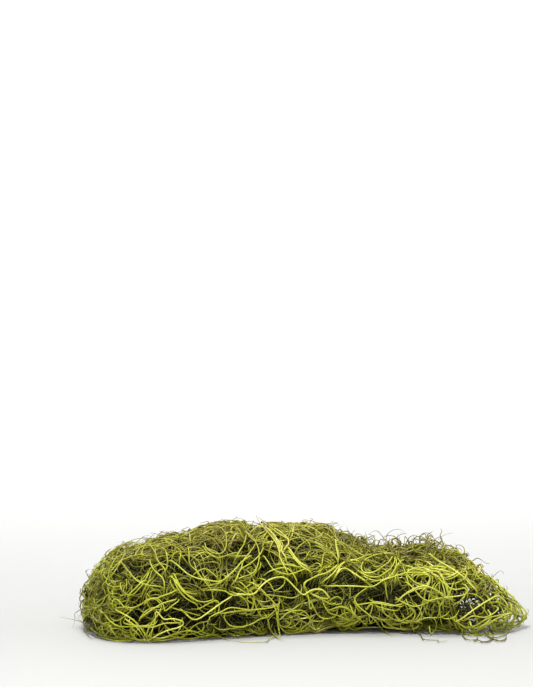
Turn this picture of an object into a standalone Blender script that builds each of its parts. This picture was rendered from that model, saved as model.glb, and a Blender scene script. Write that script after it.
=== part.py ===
# A bunch of preserved Spanish moss, as it lies on a table.
#
# Three hanks of tangled, curly stems lie side by side, each leaning on the one before it.
# A hank is a dense core with strands that root in it, ride over it in curls and dip back in,
# and with thin ends that stand off it. +X runs along the bunch, -Y is its front and +Z is up.
# The origin is on the table, under the middle of the bunch.

import math
import random

import bmesh
import bpy
import numpy as np
from mathutils import Matrix, Vector
from mathutils.bvhtree import BVHTree
from mathutils.kdtree import KDTree

MM = 0.001

# The outline of the bunch where it changes: place along it, height, front edge and back edge.
OUTLINE = MM * np.array([
    (-104, 22, -24, 24),
    (-92, 33, -46, 38),
    (-72, 41, -56, 46),
    (-45, 45, -56, 49),
    (-20, 46, -46, 50),
    (4, 49, -40, 50),
    (28, 45, -38, 47),
    (52, 41, -40, 43),
    (72, 35, -42, 37),
    (90, 25, -36, 28),
    (104, 12, -24, 16),
])
OUTLINE_BLUR = 8 * MM  # how far the outline is averaged to each side, which rounds its corners
OUTLINE_SAMPLES = 7
WAIST = 0.40  # the widest level of a section, as a share of its height
UNDERCUT = 1.12  # how far a section would reach below the table, where it is cut flat
SQUARENESS = 2.4  # the power of the section's superellipse, where 2 is an ellipse
LEFT_ROUND = 15 * MM
RIGHT_ROUND = 26 * MM
LUMP_HEIGHT = 1.6 * MM
LUMP_LENGTH = 13 * MM
GROOVE_DEPTH = 6 * MM  # how far the form sinks in along the clefts, so that each hank is round
GROOVE_WIDTH = 9 * MM

CORE_DEPTH = 7.5 * MM  # from the outline in to the cores
CORE_RIGHT_INSET = 24 * MM  # the tip of the bunch has no core, and light shows through it
CORE_RINGS, CORE_SIDES = 30, 22
SKIN_RINGS, SKIN_SIDES = 150, 84  # of the fine form that the strands are guided by

# The clefts between the hanks: place on the table, lean towards -X for each unit of height,
# and how far and how often they wave.
CLEFTS = {
    "left_cleft": {"foot": -13 * MM, "lean": 0.20, "wave": 3.0 * MM, "turn": 0.4},
    "right_cleft": {"foot": 34 * MM, "lean": 0.42, "wave": 3.5 * MM, "turn": 2.1},
}
CLEFT_WAVE_LENGTH = 11 * MM
CLEFT_GAP = 0.5 * MM
CLEFT_COLUMNS, CLEFT_ROWS = 34, 2
CLEFT_BEYOND = 1.5  # how far a cleft's wall reaches past the form, as a share of its size

STRAND_RADIUS = 1.45 * MM  # larger than the real 0.5 mm, so that few strands cover the cores
TIP_SHARE = 0.4  # the radius at a free tip, as a share of the strand's
LEAF_SHARE = 0.75
STEP = 1.5 * MM
STRAIGHT_WITHIN = 0.5 * MM  # points closer than this to a straight run are left out
ROOT_DEPTH = 10.5 * MM  # how deep a strand's root goes below the outline, into the core
RISE_LENGTH = 10 * MM
ROOT_BELOW = 2.2 * MM  # what lies this much deeper than a strand's outermost level is its root
TABLE_CLEARANCE = 0.15 * MM
CLEAR_APART = 2.0 * STRAND_RADIUS  # the least distance between the middles of two strands
SELF_APART = int(2.5 * CLEAR_APART / STEP)  # how many points on a strand may come near itself
UNDERSIDE = -0.2  # strands start where the form's normal has at least this upward part
MERGED_WITHIN = 0.001 * MM

# Each hank: how many strands lie in each layer, how many thin ends stand off it, and its colour.
HANKS = {
    "hank_left": {"under": 50, "over": 52, "ends": 9, "colour": (126, 130, 44), "seed": 11},
    "hank_middle": {"under": 30, "over": 28, "ends": 5, "colour": (136, 139, 50), "seed": 24},
    "hank_right": {"under": 38, "over": 36, "ends": 12, "colour": (144, 147, 54), "seed": 37},
}
LAYER_DEPTHS = {"under": 4.2 * MM, "over": 0.8 * MM}  # strands cross from layer to layer only
LAYER_SPREAD = 0.5 * MM
TRIES = 60  # how often a strand that finds no room is drawn again, before it is left out
STARTS_COMPARED = 4
STRAND_LENGTHS = (42 * MM, 84 * MM)
STRAND_BENDS = (13 * MM, 60 * MM)  # the radii that strands curl in
STRAND_WAVES = (22 * MM, 46 * MM)
END_LENGTHS = (24 * MM, 40 * MM)
END_BENDS = (8 * MM, 18 * MM)
END_STANDS = (3 * MM, 8 * MM)  # how far a thin end's tip stands off the form
LEAF_LENGTHS = (11 * MM, 19 * MM)
LEAF_BENDS = (8 * MM, 20 * MM)
LEAF_FORK = math.radians(38)
LEAF_LIFT = 2.5 * MM
LEAF_CLEAR_FROM = 5  # the point of a leaf from which it is clear of its strand
LEAFY_SHARE = 0.45  # the share of strands that carry a side leaf
MOSS_ROUGHNESS = 0.62


def outline_at(x):
    """Height, front edge and back edge at x, with the corners of the outline rounded."""
    window = x + OUTLINE_BLUR * np.linspace(-1, 1, OUTLINE_SAMPLES)
    return [float(np.interp(window, OUTLINE[:, 0], OUTLINE[:, k]).mean()) for k in (1, 2, 3)]


def end_share(x, inset, right_inset):
    """How much of the full section is left at x: the ends close in quarter ellipses."""
    from_left = (x - OUTLINE[0, 0] - inset) / LEFT_ROUND
    from_right = (OUTLINE[-1, 0] - right_inset - x) / RIGHT_ROUND
    share = max(0.0, min(1.0, from_left, from_right))
    return math.sqrt(1 - (1 - share) ** 2)


def lump(x, angle):
    """A gentle unevenness, the same each time."""
    along = x / LUMP_LENGTH
    return LUMP_HEIGHT * math.sin(along + 2 * angle) * math.cos(0.7 * along - 3 * angle + 1)


def groove(x, y, z):
    """How far the form sinks in at a place, beside the nearest cleft."""
    away = min(abs(x - cleft_x(cleft, y, z)) for cleft in CLEFTS.values())
    return GROOVE_DEPTH * math.exp(-((away / GROOVE_WIDTH) ** 2))


def section_point(x, angle, inset, right_inset):
    """A point of the closed section at x. Angle 0 is the back edge and a quarter turn is the top."""
    height, front, back = outline_at(x)
    share = end_share(x, inset, right_inset)
    across, up = math.cos(angle), math.sin(angle)
    across = math.copysign(abs(across) ** (2 / SQUARENESS), across)
    up = math.copysign(abs(up) ** (2 / SQUARENESS), up)
    waist = WAIST * height
    middle = (front + back) / 2
    level = max(0.0, waist + (height - waist) * up)
    sunk = inset - lump(x, angle) + groove(x, middle + (back - front) / 2 * across, level)
    reach = height - waist - sunk if up > 0 else UNDERCUT * waist
    half_width = (back - front) / 2 - sunk
    return Vector((x, middle + share * half_width * across, max(0.0, waist + share * reach * up)))


def closed_form(name, rings, sides, inset=0.0, right_inset=0.0):
    """The bunch's form as one closed mesh, set in by the insets."""
    start, end = OUTLINE[0, 0] + inset, OUTLINE[-1, 0] - right_inset
    mesh = bmesh.new()
    loops = []
    for i in range(1, rings):
        x = start + (end - start) * (1 - math.cos(math.pi * i / rings)) / 2
        turns = [2 * math.pi * k / sides for k in range(sides)]
        loops.append([mesh.verts.new(section_point(x, t, inset, right_inset)) for t in turns])
    for near, far in zip(loops, loops[1:]):
        for k in range(sides):
            after = (k + 1) % sides
            mesh.faces.new((near[k], near[after], far[after], far[k]))
    for loop, x in ((loops[0], start), (loops[-1], end)):
        pole = mesh.verts.new(section_point(x, 0, inset, right_inset))
        for k in range(sides):
            mesh.faces.new((loop[k], loop[(k + 1) % sides], pole))
    bmesh.ops.recalc_face_normals(mesh, faces=mesh.faces)
    return finished(name, mesh)


def finished(name, mesh):
    """Puts a bmesh in the scene as an object."""
    data = bpy.data.meshes.new(name)
    mesh.to_mesh(data)
    mesh.free()
    made = bpy.data.objects.new(name, data)
    bpy.context.scene.collection.objects.link(made)
    return made


def cleft_x(cleft, y, z):
    """Where the cleft runs at that depth and height."""
    wave = cleft["wave"] * math.sin(y / CLEFT_WAVE_LENGTH + cleft["turn"])
    return cleft["foot"] - cleft["lean"] * z + wave


def cleft_wall(name, cleft):
    """A thin wavy wall along the cleft, which parts the cores on its two sides."""
    height = CLEFT_BEYOND * OUTLINE[:, 1].max()
    depth = CLEFT_BEYOND * OUTLINE[:, 3].max()
    mesh = bmesh.new()
    grid = []
    for y in np.linspace(-depth, depth, CLEFT_COLUMNS + 1):
        levels = np.linspace(-height, height, CLEFT_ROWS + 1)
        grid.append([mesh.verts.new((cleft_x(cleft, y, z), y, z)) for z in levels])
    for near, far in zip(grid, grid[1:]):
        for k in range(CLEFT_ROWS):
            mesh.faces.new((near[k], far[k], far[k + 1], near[k + 1]))
    wall = finished(name, mesh)
    wall.hide_render = True
    wall.display_type = "WIRE"
    thick = wall.modifiers.new("thickness", "SOLIDIFY")
    thick.thickness = CLEFT_GAP
    thick.offset = 0
    return wall


def modifiers_applied(thing):
    """Replaces an object's mesh by the one that its modifiers give."""
    graph = bpy.context.evaluated_depsgraph_get()
    data = bpy.data.meshes.new_from_object(thing.evaluated_get(graph))
    thing.modifiers.clear()
    thing.data = data
    return thing


def bodies_of(mesh):
    """The faces of each body of a bmesh, largest first. An edge of four faces joins no bodies."""
    left, found = set(mesh.faces), []
    while left:
        body, front = [], [left.pop()]
        while front:
            face = front.pop()
            body.append(face)
            edges = [edge for edge in face.edges if len(edge.link_faces) == 2]
            near = {other for edge in edges for other in edge.link_faces} & left
            left -= near
            front.extend(near)
        found.append(body)
    return sorted(found, key=len, reverse=True)


def hank_cores():
    """One core, parted along the clefts into a core for each hank, from -X to +X."""
    whole = closed_form("core", CORE_RINGS, CORE_SIDES, CORE_DEPTH, CORE_RIGHT_INSET)
    walls = [cleft_wall(name, cleft) for name, cleft in CLEFTS.items()]
    for wall in walls:
        cut = whole.modifiers.new(wall.name, "BOOLEAN")
        cut.operation = "DIFFERENCE"
        cut.object = wall
    modifiers_applied(whole)
    for wall in walls:
        bpy.data.objects.remove(wall)
    mesh = bmesh.new()
    mesh.from_mesh(whole.data)
    bodies = bodies_of(mesh)[: len(HANKS)]
    bodies.sort(key=lambda body: sum(face.calc_center_median().x for face in body) / len(body))
    keeps = [{face.index for face in body} for body in bodies]
    mesh.free()
    cores = []
    for name, keep in zip(HANKS, keeps):
        part = bmesh.new()
        part.from_mesh(whole.data)
        others = [face for face in part.faces if face.index not in keep]
        bmesh.ops.delete(part, geom=others, context="FACES")
        cores.append(finished(name, part))
    bpy.data.objects.remove(whole)
    return cores


def kept_in_hank(point, bounds):
    """The point, bent clear of the hanks beside this one and of the table."""
    low, high = bounds
    margin = STRAND_RADIUS + CLEFT_GAP
    if low is not None:
        point.x = max(point.x, cleft_x(low, point.y, point.z) + margin)
    if high is not None:
        point.x = min(point.x, cleft_x(high, point.y, point.z) - margin)
    point.z = max(point.z, STRAND_RADIUS + TABLE_CLEARANCE)
    return point


def eased(share):
    """A smooth step from 0 to 1."""
    share = max(0.0, min(1.0, share))
    return share * share * (3 - 2 * share)


def thinned(points, within):
    """The points that a line needs to stay this close to its full course."""
    if len(points) < 3:
        return points
    first, last = points[0], points[-1]
    run = last - first
    away = []
    for point in points[1:-1]:
        share = max(0.0, min(1.0, (point - first).dot(run) / run.length_squared))
        away.append((point - first - share * run).length)
    worst = max(range(len(away)), key=away.__getitem__)
    if away[worst] < within:
        return [first, last]
    middle = worst + 1
    return thinned(points[: middle + 1], within)[:-1] + thinned(points[middle:], within)


def course_over(skin, start, heading, turn_at, depth_at, length, bounds):
    """A line that walks over the form, with its depth below it at each of its points."""
    place, normal = skin.find_nearest(start)[:2]
    points, depths = [], []
    for i in range(int(length / STEP) + 1):
        walked = i * STEP
        depths.append(depth_at(walked))
        points.append(kept_in_hank(place - normal * depths[-1], bounds))
        heading = (heading - heading.dot(normal) * normal).normalized()
        heading = Matrix.Rotation(turn_at(walked) * STEP, 3, normal) @ heading
        place, normal = skin.find_nearest(place + heading * STEP)[:2]
    return points, depths


def either_way(draw, low, high):
    """A number in the range, or its negative."""
    return draw.choice((-1, 1)) * draw.uniform(low, high)


def riding_strand(skin, start, bounds, draw, layer_depth):
    """A strand that rises from the core, curls over the form in its layer and dips back in."""
    length = draw.uniform(*STRAND_LENGTHS)
    bend = 1 / either_way(draw, *STRAND_BENDS)
    sway = draw.uniform(0, 1) / STRAND_BENDS[0]
    wave, phase = draw.uniform(*STRAND_WAVES), draw.uniform(0, 2 * math.pi)
    ride = layer_depth + either_way(draw, 0, LAYER_SPREAD)
    heading = Vector((draw.choice((-1, 1)), draw.uniform(-0.9, 0.9), draw.uniform(-0.7, 0.7)))

    def turn_at(walked):
        return bend + sway * math.sin(2 * math.pi * walked / wave + phase)

    def depth_at(walked):
        risen = eased(walked / RISE_LENGTH) * eased((length - walked) / RISE_LENGTH)
        return ROOT_DEPTH + (ride - ROOT_DEPTH) * risen

    return course_over(skin, start, heading, turn_at, depth_at, length, bounds)


def standing_end(skin, start, bounds, draw):
    """A thin end that leaves the core and hooks away from the form."""
    length = draw.uniform(*END_LENGTHS)
    bend = 1 / either_way(draw, *END_BENDS)
    stand = draw.uniform(*END_STANDS)
    heading = Vector((draw.uniform(-1, 1), draw.uniform(-1, 1), draw.uniform(-1, 1)))

    def depth_at(walked):
        return ROOT_DEPTH - (ROOT_DEPTH + stand) * eased(walked / length)

    return course_over(skin, start, heading, lambda walked: bend, depth_at, length, bounds)


def side_leaf(skin, points, depths, bounds, draw):
    """A short leaf that forks off a strand and curls away from it."""
    fork = draw.randrange(len(points) // 3, 2 * len(points) // 3)
    length = draw.uniform(*LEAF_LENGTHS)
    side = draw.choice((-1, 1))
    bend = side / draw.uniform(*LEAF_BENDS)
    normal = skin.find_nearest(points[fork])[1]
    heading = Matrix.Rotation(side * LEAF_FORK, 3, normal) @ (points[fork + 1] - points[fork])

    def depth_at(walked):
        return depths[fork] - LEAF_LIFT * eased(walked / length)

    return course_over(skin, points[fork], heading, lambda walked: bend, depth_at, length, bounds)


def tree_of(points):
    """The points as a tree, which finds the nearest of them."""
    tree = KDTree(len(points))
    for i, point in enumerate(points):
        tree.insert(point, i)
    tree.balance()
    return tree


def outer_stretch(points, depths):
    """The part of a line near its outermost level, without the roots, which may fuse to others."""
    return [p for p, depth in zip(points, depths) if depth < min(depths) + ROOT_BELOW]


def has_room(points, depths, laid):
    """True where a line's outer stretch is clear of what is laid before it, and of itself."""
    out = outer_stretch(points, depths)
    tree = tree_of(laid)
    if laid and any(tree.find(point)[2] < CLEAR_APART for point in out):
        return False
    for i, point in enumerate(out):
        if any((point - other).length < CLEAR_APART for other in out[i + SELF_APART:]):
            return False
    return True


def three_sided_profile():
    """The cross-section that every strand is swept from."""
    curve = bpy.data.curves.new("strand_profile", "CURVE")
    spline = curve.splines.new("POLY")
    spline.points.add(2)
    for k, point in enumerate(spline.points):
        turn = -2 * math.pi * k / 3
        point.co = (STRAND_RADIUS * math.cos(turn), STRAND_RADIUS * math.sin(turn), 0, 1)
    spline.use_cyclic_u = True
    profile = bpy.data.objects.new("strand_profile", curve)
    bpy.context.scene.collection.objects.link(profile)
    profile.hide_render = True
    return profile


def swept(points, shares, profile, shelf):
    """A closed tube along the points, with the profile scaled by the share at each of them."""
    curve = bpy.data.curves.new("course", "CURVE")
    curve.dimensions = "3D"
    curve.bevel_mode = "OBJECT"
    curve.bevel_object = profile
    curve.use_fill_caps = True
    spline = curve.splines.new("POLY")
    spline.points.add(len(points) - 1)
    for point, place, share in zip(spline.points, points, shares):
        point.co = (*place, 1)
        point.radius = share
    course = bpy.data.objects.new("course", curve)
    bpy.context.scene.collection.objects.link(course)
    graph = bpy.context.evaluated_depsgraph_get()
    data = bpy.data.meshes.new_from_object(course.evaluated_get(graph))
    bpy.data.objects.remove(course)
    mesh = bmesh.new()
    mesh.from_mesh(data)
    bmesh.ops.remove_doubles(mesh, verts=mesh.verts, dist=MERGED_WITHIN)
    bmesh.ops.recalc_face_normals(mesh, faces=mesh.faces)
    mesh.to_mesh(data)
    mesh.free()
    shelf.objects.link(bpy.data.objects.new("strand", data))


def taper(points, share, free_tip):
    """The share of the full radius at each point, which narrows towards a free tip."""
    count = len(points) - 1
    if not free_tip:
        return [share] * (count + 1)
    return [share * (1 - (1 - TIP_SHARE) * (i / count) ** 2) for i in range(count + 1)]


def start_on(skin_mesh, bounds, draw):
    """A place on the skin in this hank, away from its underside."""
    while True:
        face = skin_mesh.polygons[draw.randrange(len(skin_mesh.polygons))]
        point = face.center
        low, high = bounds
        if face.normal.z < UNDERSIDE or draw.random() > face.area / skin_mesh["largest"]:
            continue
        if low is not None and point.x < cleft_x(low, point.y, point.z):
            continue
        if high is not None and point.x > cleft_x(high, point.y, point.z):
            continue
        if point.x < OUTLINE[-1, 0] - CORE_RIGHT_INSET - ROOT_DEPTH:
            return point.copy()


def barest_start(skin_mesh, bounds, laid, draw):
    """Of a few places on this hank, the one that is furthest from the strands laid before."""
    places = [start_on(skin_mesh, bounds, draw) for _ in range(STARTS_COMPARED)]
    if not laid:
        return places[0]
    tree = tree_of(laid)
    return max(places, key=lambda place: tree.find(place)[2])


def grow_strands(facts, skin, skin_mesh, bounds, profile, shelf):
    """Fills the shelf with all strands, side leaves and standing ends of one hank."""
    draw = random.Random(facts["seed"])
    laid = []

    def lay(points, depths, share, free_tip):
        laid.extend(outer_stretch(points, depths))
        course = thinned(points, STRAIGHT_WITHIN)
        swept(course, taper(course, share, free_tip), profile, shelf)

    def drawn_with_room(kind, *facts_of_kind):
        for _ in range(TRIES):
            start = barest_start(skin_mesh, bounds, laid, draw)
            points, depths = kind(skin, start, bounds, draw, *facts_of_kind)
            if has_room(points, depths, laid):
                return points, depths
        return None

    for layer, depth in LAYER_DEPTHS.items():
        for _ in range(facts[layer]):
            strand = drawn_with_room(riding_strand, depth)
            if strand is None:
                continue
            lay(*strand, 1.0, False)
            if draw.random() < LEAFY_SHARE:
                leaf, depths = side_leaf(skin, *strand, bounds, draw)
                if has_room(leaf[LEAF_CLEAR_FROM:], depths[LEAF_CLEAR_FROM:], laid):
                    lay(leaf, depths, LEAF_SHARE, True)
    for _ in range(facts["ends"]):
        end = drawn_with_room(standing_end)
        if end is not None:
            lay(*end, LEAF_SHARE, True)


def largest_body_only(thing):
    """Drops loose scraps and sealed pockets, which the union can leave."""
    mesh = bmesh.new()
    mesh.from_mesh(thing.data)
    for scrap in bodies_of(mesh)[1:]:
        bmesh.ops.delete(mesh, geom=scrap, context="FACES")
    mesh.to_mesh(thing.data)
    mesh.free()


def linear(channel):
    """A colour channel from 0 to 255, as light."""
    share = channel / 255
    return ((share + 0.055) / 1.055) ** 2.4


def moss_material(name, colour):
    material = bpy.data.materials.new(name)
    material.use_nodes = True
    shader = material.node_tree.nodes["Principled BSDF"]
    shader.inputs["Base Color"].default_value = (*(linear(c) for c in colour), 1)
    shader.inputs["Roughness"].default_value = MOSS_ROUGHNESS
    shader.inputs["Metallic"].default_value = 0.0
    return material


def centre_on_table(things):
    """Moves all hanks together, so that the origin is under the middle of the bunch."""
    points = np.array([vert.co for thing in things for vert in thing.data.vertices])
    low, high = points.min(axis=0), points.max(axis=0)
    shift = Vector((-(low[0] + high[0]) / 2, -(low[1] + high[1]) / 2, -low[2]))
    for thing in things:
        thing.data.transform(Matrix.Translation(shift))


def main():
    for thing in list(bpy.data.objects):
        bpy.data.objects.remove(thing)
    skin_object = closed_form("skin", SKIN_RINGS, SKIN_SIDES)
    graph = bpy.context.evaluated_depsgraph_get()
    skin = BVHTree.FromObject(skin_object, graph)
    skin_mesh = skin_object.data
    skin_mesh["largest"] = max(face.area for face in skin_mesh.polygons)
    profile = three_sided_profile()
    clefts = list(CLEFTS.values())
    cores = hank_cores()
    for i, (core, facts) in enumerate(zip(cores, HANKS.values())):
        bounds = (clefts[i - 1] if i > 0 else None, clefts[i] if i < len(clefts) else None)
        shelf = bpy.data.collections.new(core.name + "_strands")
        bpy.context.scene.collection.children.link(shelf)
        grow_strands(facts, skin, skin_mesh, bounds, profile, shelf)
        union = core.modifiers.new("strands", "BOOLEAN")
        union.operation = "UNION"
        union.operand_type = "COLLECTION"
        union.collection = shelf
        modifiers_applied(core)
        for strand in list(shelf.objects):
            bpy.data.objects.remove(strand)
        bpy.data.collections.remove(shelf)
        largest_body_only(core)
        core.data.materials.clear()
        core.data.materials.append(moss_material(core.name, facts["colour"]))
    bpy.data.objects.remove(skin_object)
    bpy.data.objects.remove(profile)
    centre_on_table(cores)


main()
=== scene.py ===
# %% [markdown]
# # A bunch of preserved Spanish moss
#
# Spanish moss has no roots and no trunk. It is nothing but thin, curly stems with curly leaves,
# and a bunch of it holds together because they hook into each other. Hair or particles would be
# quick to set up, but they aren't meshes, and they don't hook. So this lesson grows the tangle
# over a simple form: strands walk over the form's skin at many depths, weave over and under each
# other, run together in locks, fork, and end in hooks.

# %% Load the frame
import math
import random

import bpy
import numpy as np
from mathutils import Matrix, Vector, noise
from mathutils.bvhtree import BVHTree


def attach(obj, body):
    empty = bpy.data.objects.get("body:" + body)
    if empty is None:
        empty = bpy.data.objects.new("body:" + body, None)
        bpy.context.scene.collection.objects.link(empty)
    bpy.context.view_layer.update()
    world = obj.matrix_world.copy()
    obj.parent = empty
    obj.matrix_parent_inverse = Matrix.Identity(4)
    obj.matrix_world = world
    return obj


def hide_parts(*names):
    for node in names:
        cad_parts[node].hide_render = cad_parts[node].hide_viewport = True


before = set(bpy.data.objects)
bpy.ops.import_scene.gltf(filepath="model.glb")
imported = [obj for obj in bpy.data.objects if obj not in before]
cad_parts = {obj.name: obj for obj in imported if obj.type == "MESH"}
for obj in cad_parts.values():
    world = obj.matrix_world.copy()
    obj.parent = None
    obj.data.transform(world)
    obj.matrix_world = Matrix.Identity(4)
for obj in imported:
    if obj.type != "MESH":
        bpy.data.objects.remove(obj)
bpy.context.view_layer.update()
MM = 0.001

# %% [markdown]
# ## The form of the bunch
#
# On the real thing the outside is the level that the outermost strands reach. It is described
# here as a row of sections along the bunch, each with a height, a front edge and a back edge,
# and each a rounded oblong that is cut flat by the table. The numbers stay near those of the
# solid model, so that the strands lie round the solids; only the left foot reaches a little
# further to the front.

# %% The outline of the bunch
CENTRE = Vector((6.3 * MM, 2.0 * MM, 0.0))  # where the outline's zero lies in the frame
OUTLINE = MM * np.array([
    # place along it, height, front edge, back edge
    (-104, 22, -30, 24),
    (-92, 34, -55, 38),
    (-72, 41, -68, 46),
    (-45, 47, -60, 49),
    (-20, 48, -46, 50),
    (4, 47, -41, 50),
    (24, 43, -38, 47),
    (40, 37.5, -40, 45),
    (60, 38.5, -42, 41),
    (74, 33.5, -42, 37),
    (90, 20.5, -38, 28),
    (104, 11, -32, 16),
])
# how far down the round of a section would go under the table: more makes a wider foot
UNDERCUT = ((-104, 1.7), (-20, 1.7), (10, 1.25), (30, 1.05), (70, 1.1), (104, 1.5))
OUTLINE_BLUR = 8 * MM
OUTLINE_SAMPLES = 7
WAIST = 0.40  # of the height, where a section is widest
SQUARENESS = 2.4
LEFT_ROUND = 15 * MM
RIGHT_ROUND = 26 * MM
print("the outline has", len(OUTLINE), "sections")

# %% [markdown]
# ## Two clefts
#
# Two slanting clefts part the bunch into three hanks. Each is a surface that leans to the left as
# it rises and waves from front to back. How far a place lies from it decides three things later:
# where the form has a groove, where strands sink in, and to which hank a strand belongs.

# %% The clefts
CLEFTS = (
    {"foot": -13 * MM, "lean": 0.20, "wave": 3.0 * MM, "turn": 0.4},
    {"foot": 34 * MM, "lean": 0.42, "wave": 3.5 * MM, "turn": 2.1},
)
CLEFT_WAVE_LENGTH = 11 * MM
HANK_NAMES = ("left", "middle", "right")


def from_cleft(cleft, x, y, z):
    """How far a place of the outline lies from a cleft, towards +X."""
    wave = cleft["wave"] * np.sin(y / CLEFT_WAVE_LENGTH + cleft["turn"])
    return x - (cleft["foot"] - cleft["lean"] * z + wave)


def hank_at(place):
    """0, 1 or 2 for the left, middle and right hank."""
    x, y, z = place - CENTRE
    return sum(from_cleft(cleft, x, y, z) > 0 for cleft in CLEFTS)


print("the middle of the bunch lies in the", HANK_NAMES[hank_at(CENTRE)], "hank")

# %% [markdown]
# ## The form as rings of points
#
# A sculpted blob would do as a form, but rings from a formula can be set in by any depth, and so
# the same function gives the skin that guides the strands and the dark inside. Soft lumps keep
# the skin from looking turned on a lathe.

# %% Rings of points
LUMP_HEIGHT = 1.6 * MM
LUMP_LENGTH = 13 * MM
LUMP_STRETCH = 0.7  # of the second row of lumps, which crosses the first
GROOVE_DEPTH = 1.2 * MM
GROOVE_WIDTH = 9 * MM
GUIDE_RINGS = 300
GUIDE_SIDES = 160


def rounded(share):
    """A number from -1 to 1, pushed outwards, which turns a circle into a rounded oblong."""
    return np.sign(share) * np.abs(share) ** (2 / SQUARENESS)


def form_points(rings, sides, inset=0.0, right_inset=0.0):
    """The form as an array of rings of points, set in by the insets."""
    start, end = OUTLINE[0, 0] + inset, OUTLINE[-1, 0] - right_inset
    x = start + (end - start) * (1 - np.cos(np.pi * np.arange(1, rings) / rings)) / 2
    x = x[:, None]
    windows = x + OUTLINE_BLUR * np.linspace(-1, 1, OUTLINE_SAMPLES)
    height, front, back = (
        np.interp(windows, OUTLINE[:, 0], OUTLINE[:, k]).mean(axis=1)[:, None] for k in (1, 2, 3)
    )
    left, right = (x - start) / LEFT_ROUND, (end - x) / RIGHT_ROUND
    share = np.sqrt(1 - (1 - np.clip(np.minimum(left, right), 0, 1)) ** 2)
    angle = 2 * np.pi * np.arange(sides)[None, :] / sides
    across, up = rounded(np.cos(angle)), rounded(np.sin(angle))
    waist, middle, half = WAIST * height, (front + back) / 2, (back - front) / 2
    under = np.interp(x, MM * np.array(UNDERCUT)[:, 0], np.array(UNDERCUT)[:, 1])
    along = x / LUMP_LENGTH
    lump = LUMP_HEIGHT * np.sin(along + 2 * angle) * np.cos(LUMP_STRETCH * along - 3 * angle + 1)
    level = np.maximum(0, waist + (height - waist) * up)
    away = [np.abs(from_cleft(cleft, x, middle + half * across, level)) for cleft in CLEFTS]
    groove = GROOVE_DEPTH * np.exp(-((np.min(away, axis=0) / GROOVE_WIDTH) ** 2))
    sunk = inset - lump + groove
    reach = np.where(up > 0, height - waist - sunk, under * waist)
    y = middle + share * (half - sunk) * across
    z = np.maximum(0, waist + share * reach * up)
    return np.stack([x + 0 * y, y, z], axis=2) + np.array(CENTRE)


guide_points = form_points(GUIDE_RINGS, GUIDE_SIDES)
print("the form is", round(guide_points[:, :, 2].max() / MM, 1), "mm high")

# %% [markdown]
# ## A mesh from the rings
#
# Neighbouring rings are joined by rows of four-cornered faces, and the two open ends are closed
# by a fan of triangles round a pole. Edit mode then turns all faces outwards.

# %% The mesh and the skin that guides the strands
def only(thing):
    """Selects one object alone, and makes it the active one."""
    bpy.ops.object.select_all(action="DESELECT")
    thing.select_set(True)
    bpy.context.view_layer.objects.active = thing


def added(name, data):
    """A new object in the scene, selected alone."""
    made = bpy.data.objects.new(name, data)
    bpy.context.scene.collection.objects.link(made)
    only(made)
    return made


def form_mesh(name, points):
    """A closed object from the rings of points."""
    rings, sides = points.shape[:2]
    poles = [points[0].mean(axis=0), points[-1].mean(axis=0)]
    ids = np.arange(rings * sides).reshape(rings, sides)
    after = np.roll(ids, -1, axis=1)
    faces = np.stack([ids[:-1], after[:-1], after[1:], ids[1:]], axis=2).reshape(-1, 4).tolist()
    first, last = rings * sides, rings * sides + 1
    faces += [(ids[0, k], first, after[0, k]) for k in range(sides)]
    faces += [(ids[-1, k], after[-1, k], last) for k in range(sides)]
    mesh = bpy.data.meshes.new(name)
    mesh.from_pydata([*points.reshape(-1, 3).tolist(), *poles], [], faces)
    mesh.update()
    made = added(name, mesh)
    bpy.ops.object.mode_set(mode="EDIT")
    bpy.ops.mesh.select_all(action="SELECT")
    bpy.ops.mesh.normals_make_consistent(inside=False)
    bpy.ops.object.mode_set(mode="OBJECT")
    return made


guide = form_mesh("guide", guide_points)
bpy.context.view_layer.update()
skin = BVHTree.FromObject(guide, bpy.context.evaluated_depsgraph_get())
guide_faces = [(face.center.copy(), face.normal.copy(), face.area) for face in guide.data.polygons]
bpy.data.objects.remove(guide)
print("the guide has", len(guide_faces), "faces")

# %% [markdown]
# ## The camera comes first
#
# Some strands are traced from where they show in the photograph, so the camera has to
# stand before they can be placed. It is level, about a metre away and higher than the bunch,
# which therefore lies in the lower part of the picture.

# %% The camera
PICTURE = (533, 687)  # pixels
SENSOR = 36.0  # mm, along the picture's long side
LENS = 111.5  # mm
PIXELS_PER_SLOPE = LENS / SENSOR * PICTURE[1]
eye = Vector((-17.2 * MM, -1000 * MM, 132 * MM)) + CENTRE
bpy.ops.object.camera_add(location=eye, rotation=(math.pi / 2, 0, 0))
camera = bpy.context.object
camera.name = "camera"
camera.data.sensor_width = SENSOR
camera.data.lens = LENS
camera.data.clip_start = 0.01
camera.data.clip_end = 20
bpy.context.scene.camera = camera
print("the camera looks level from", tuple(round(v, 3) for v in eye))

# %% [markdown]
# ## From a pixel to a place
#
# A pixel gives only a direction. The place on it is where its ray first meets the skin, or the
# table if that comes first, or else where it passes nearest to the bunch.

# %% Places from pixels
FOREMOST = -63 * MM  # no strand reaches further to the front
TRIED_DISTANCES = range(930, 1070, 2)  # mm from the eye, for rays that miss the bunch


def ray_through(pixel):
    """The direction from the eye through a pixel of the picture."""
    right = (pixel[0] - PICTURE[0] / 2) / PIXELS_PER_SLOPE
    down = (pixel[1] - PICTURE[1] / 2) / PIXELS_PER_SLOPE
    return Vector((right, 1, -down)).normalized()


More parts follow.
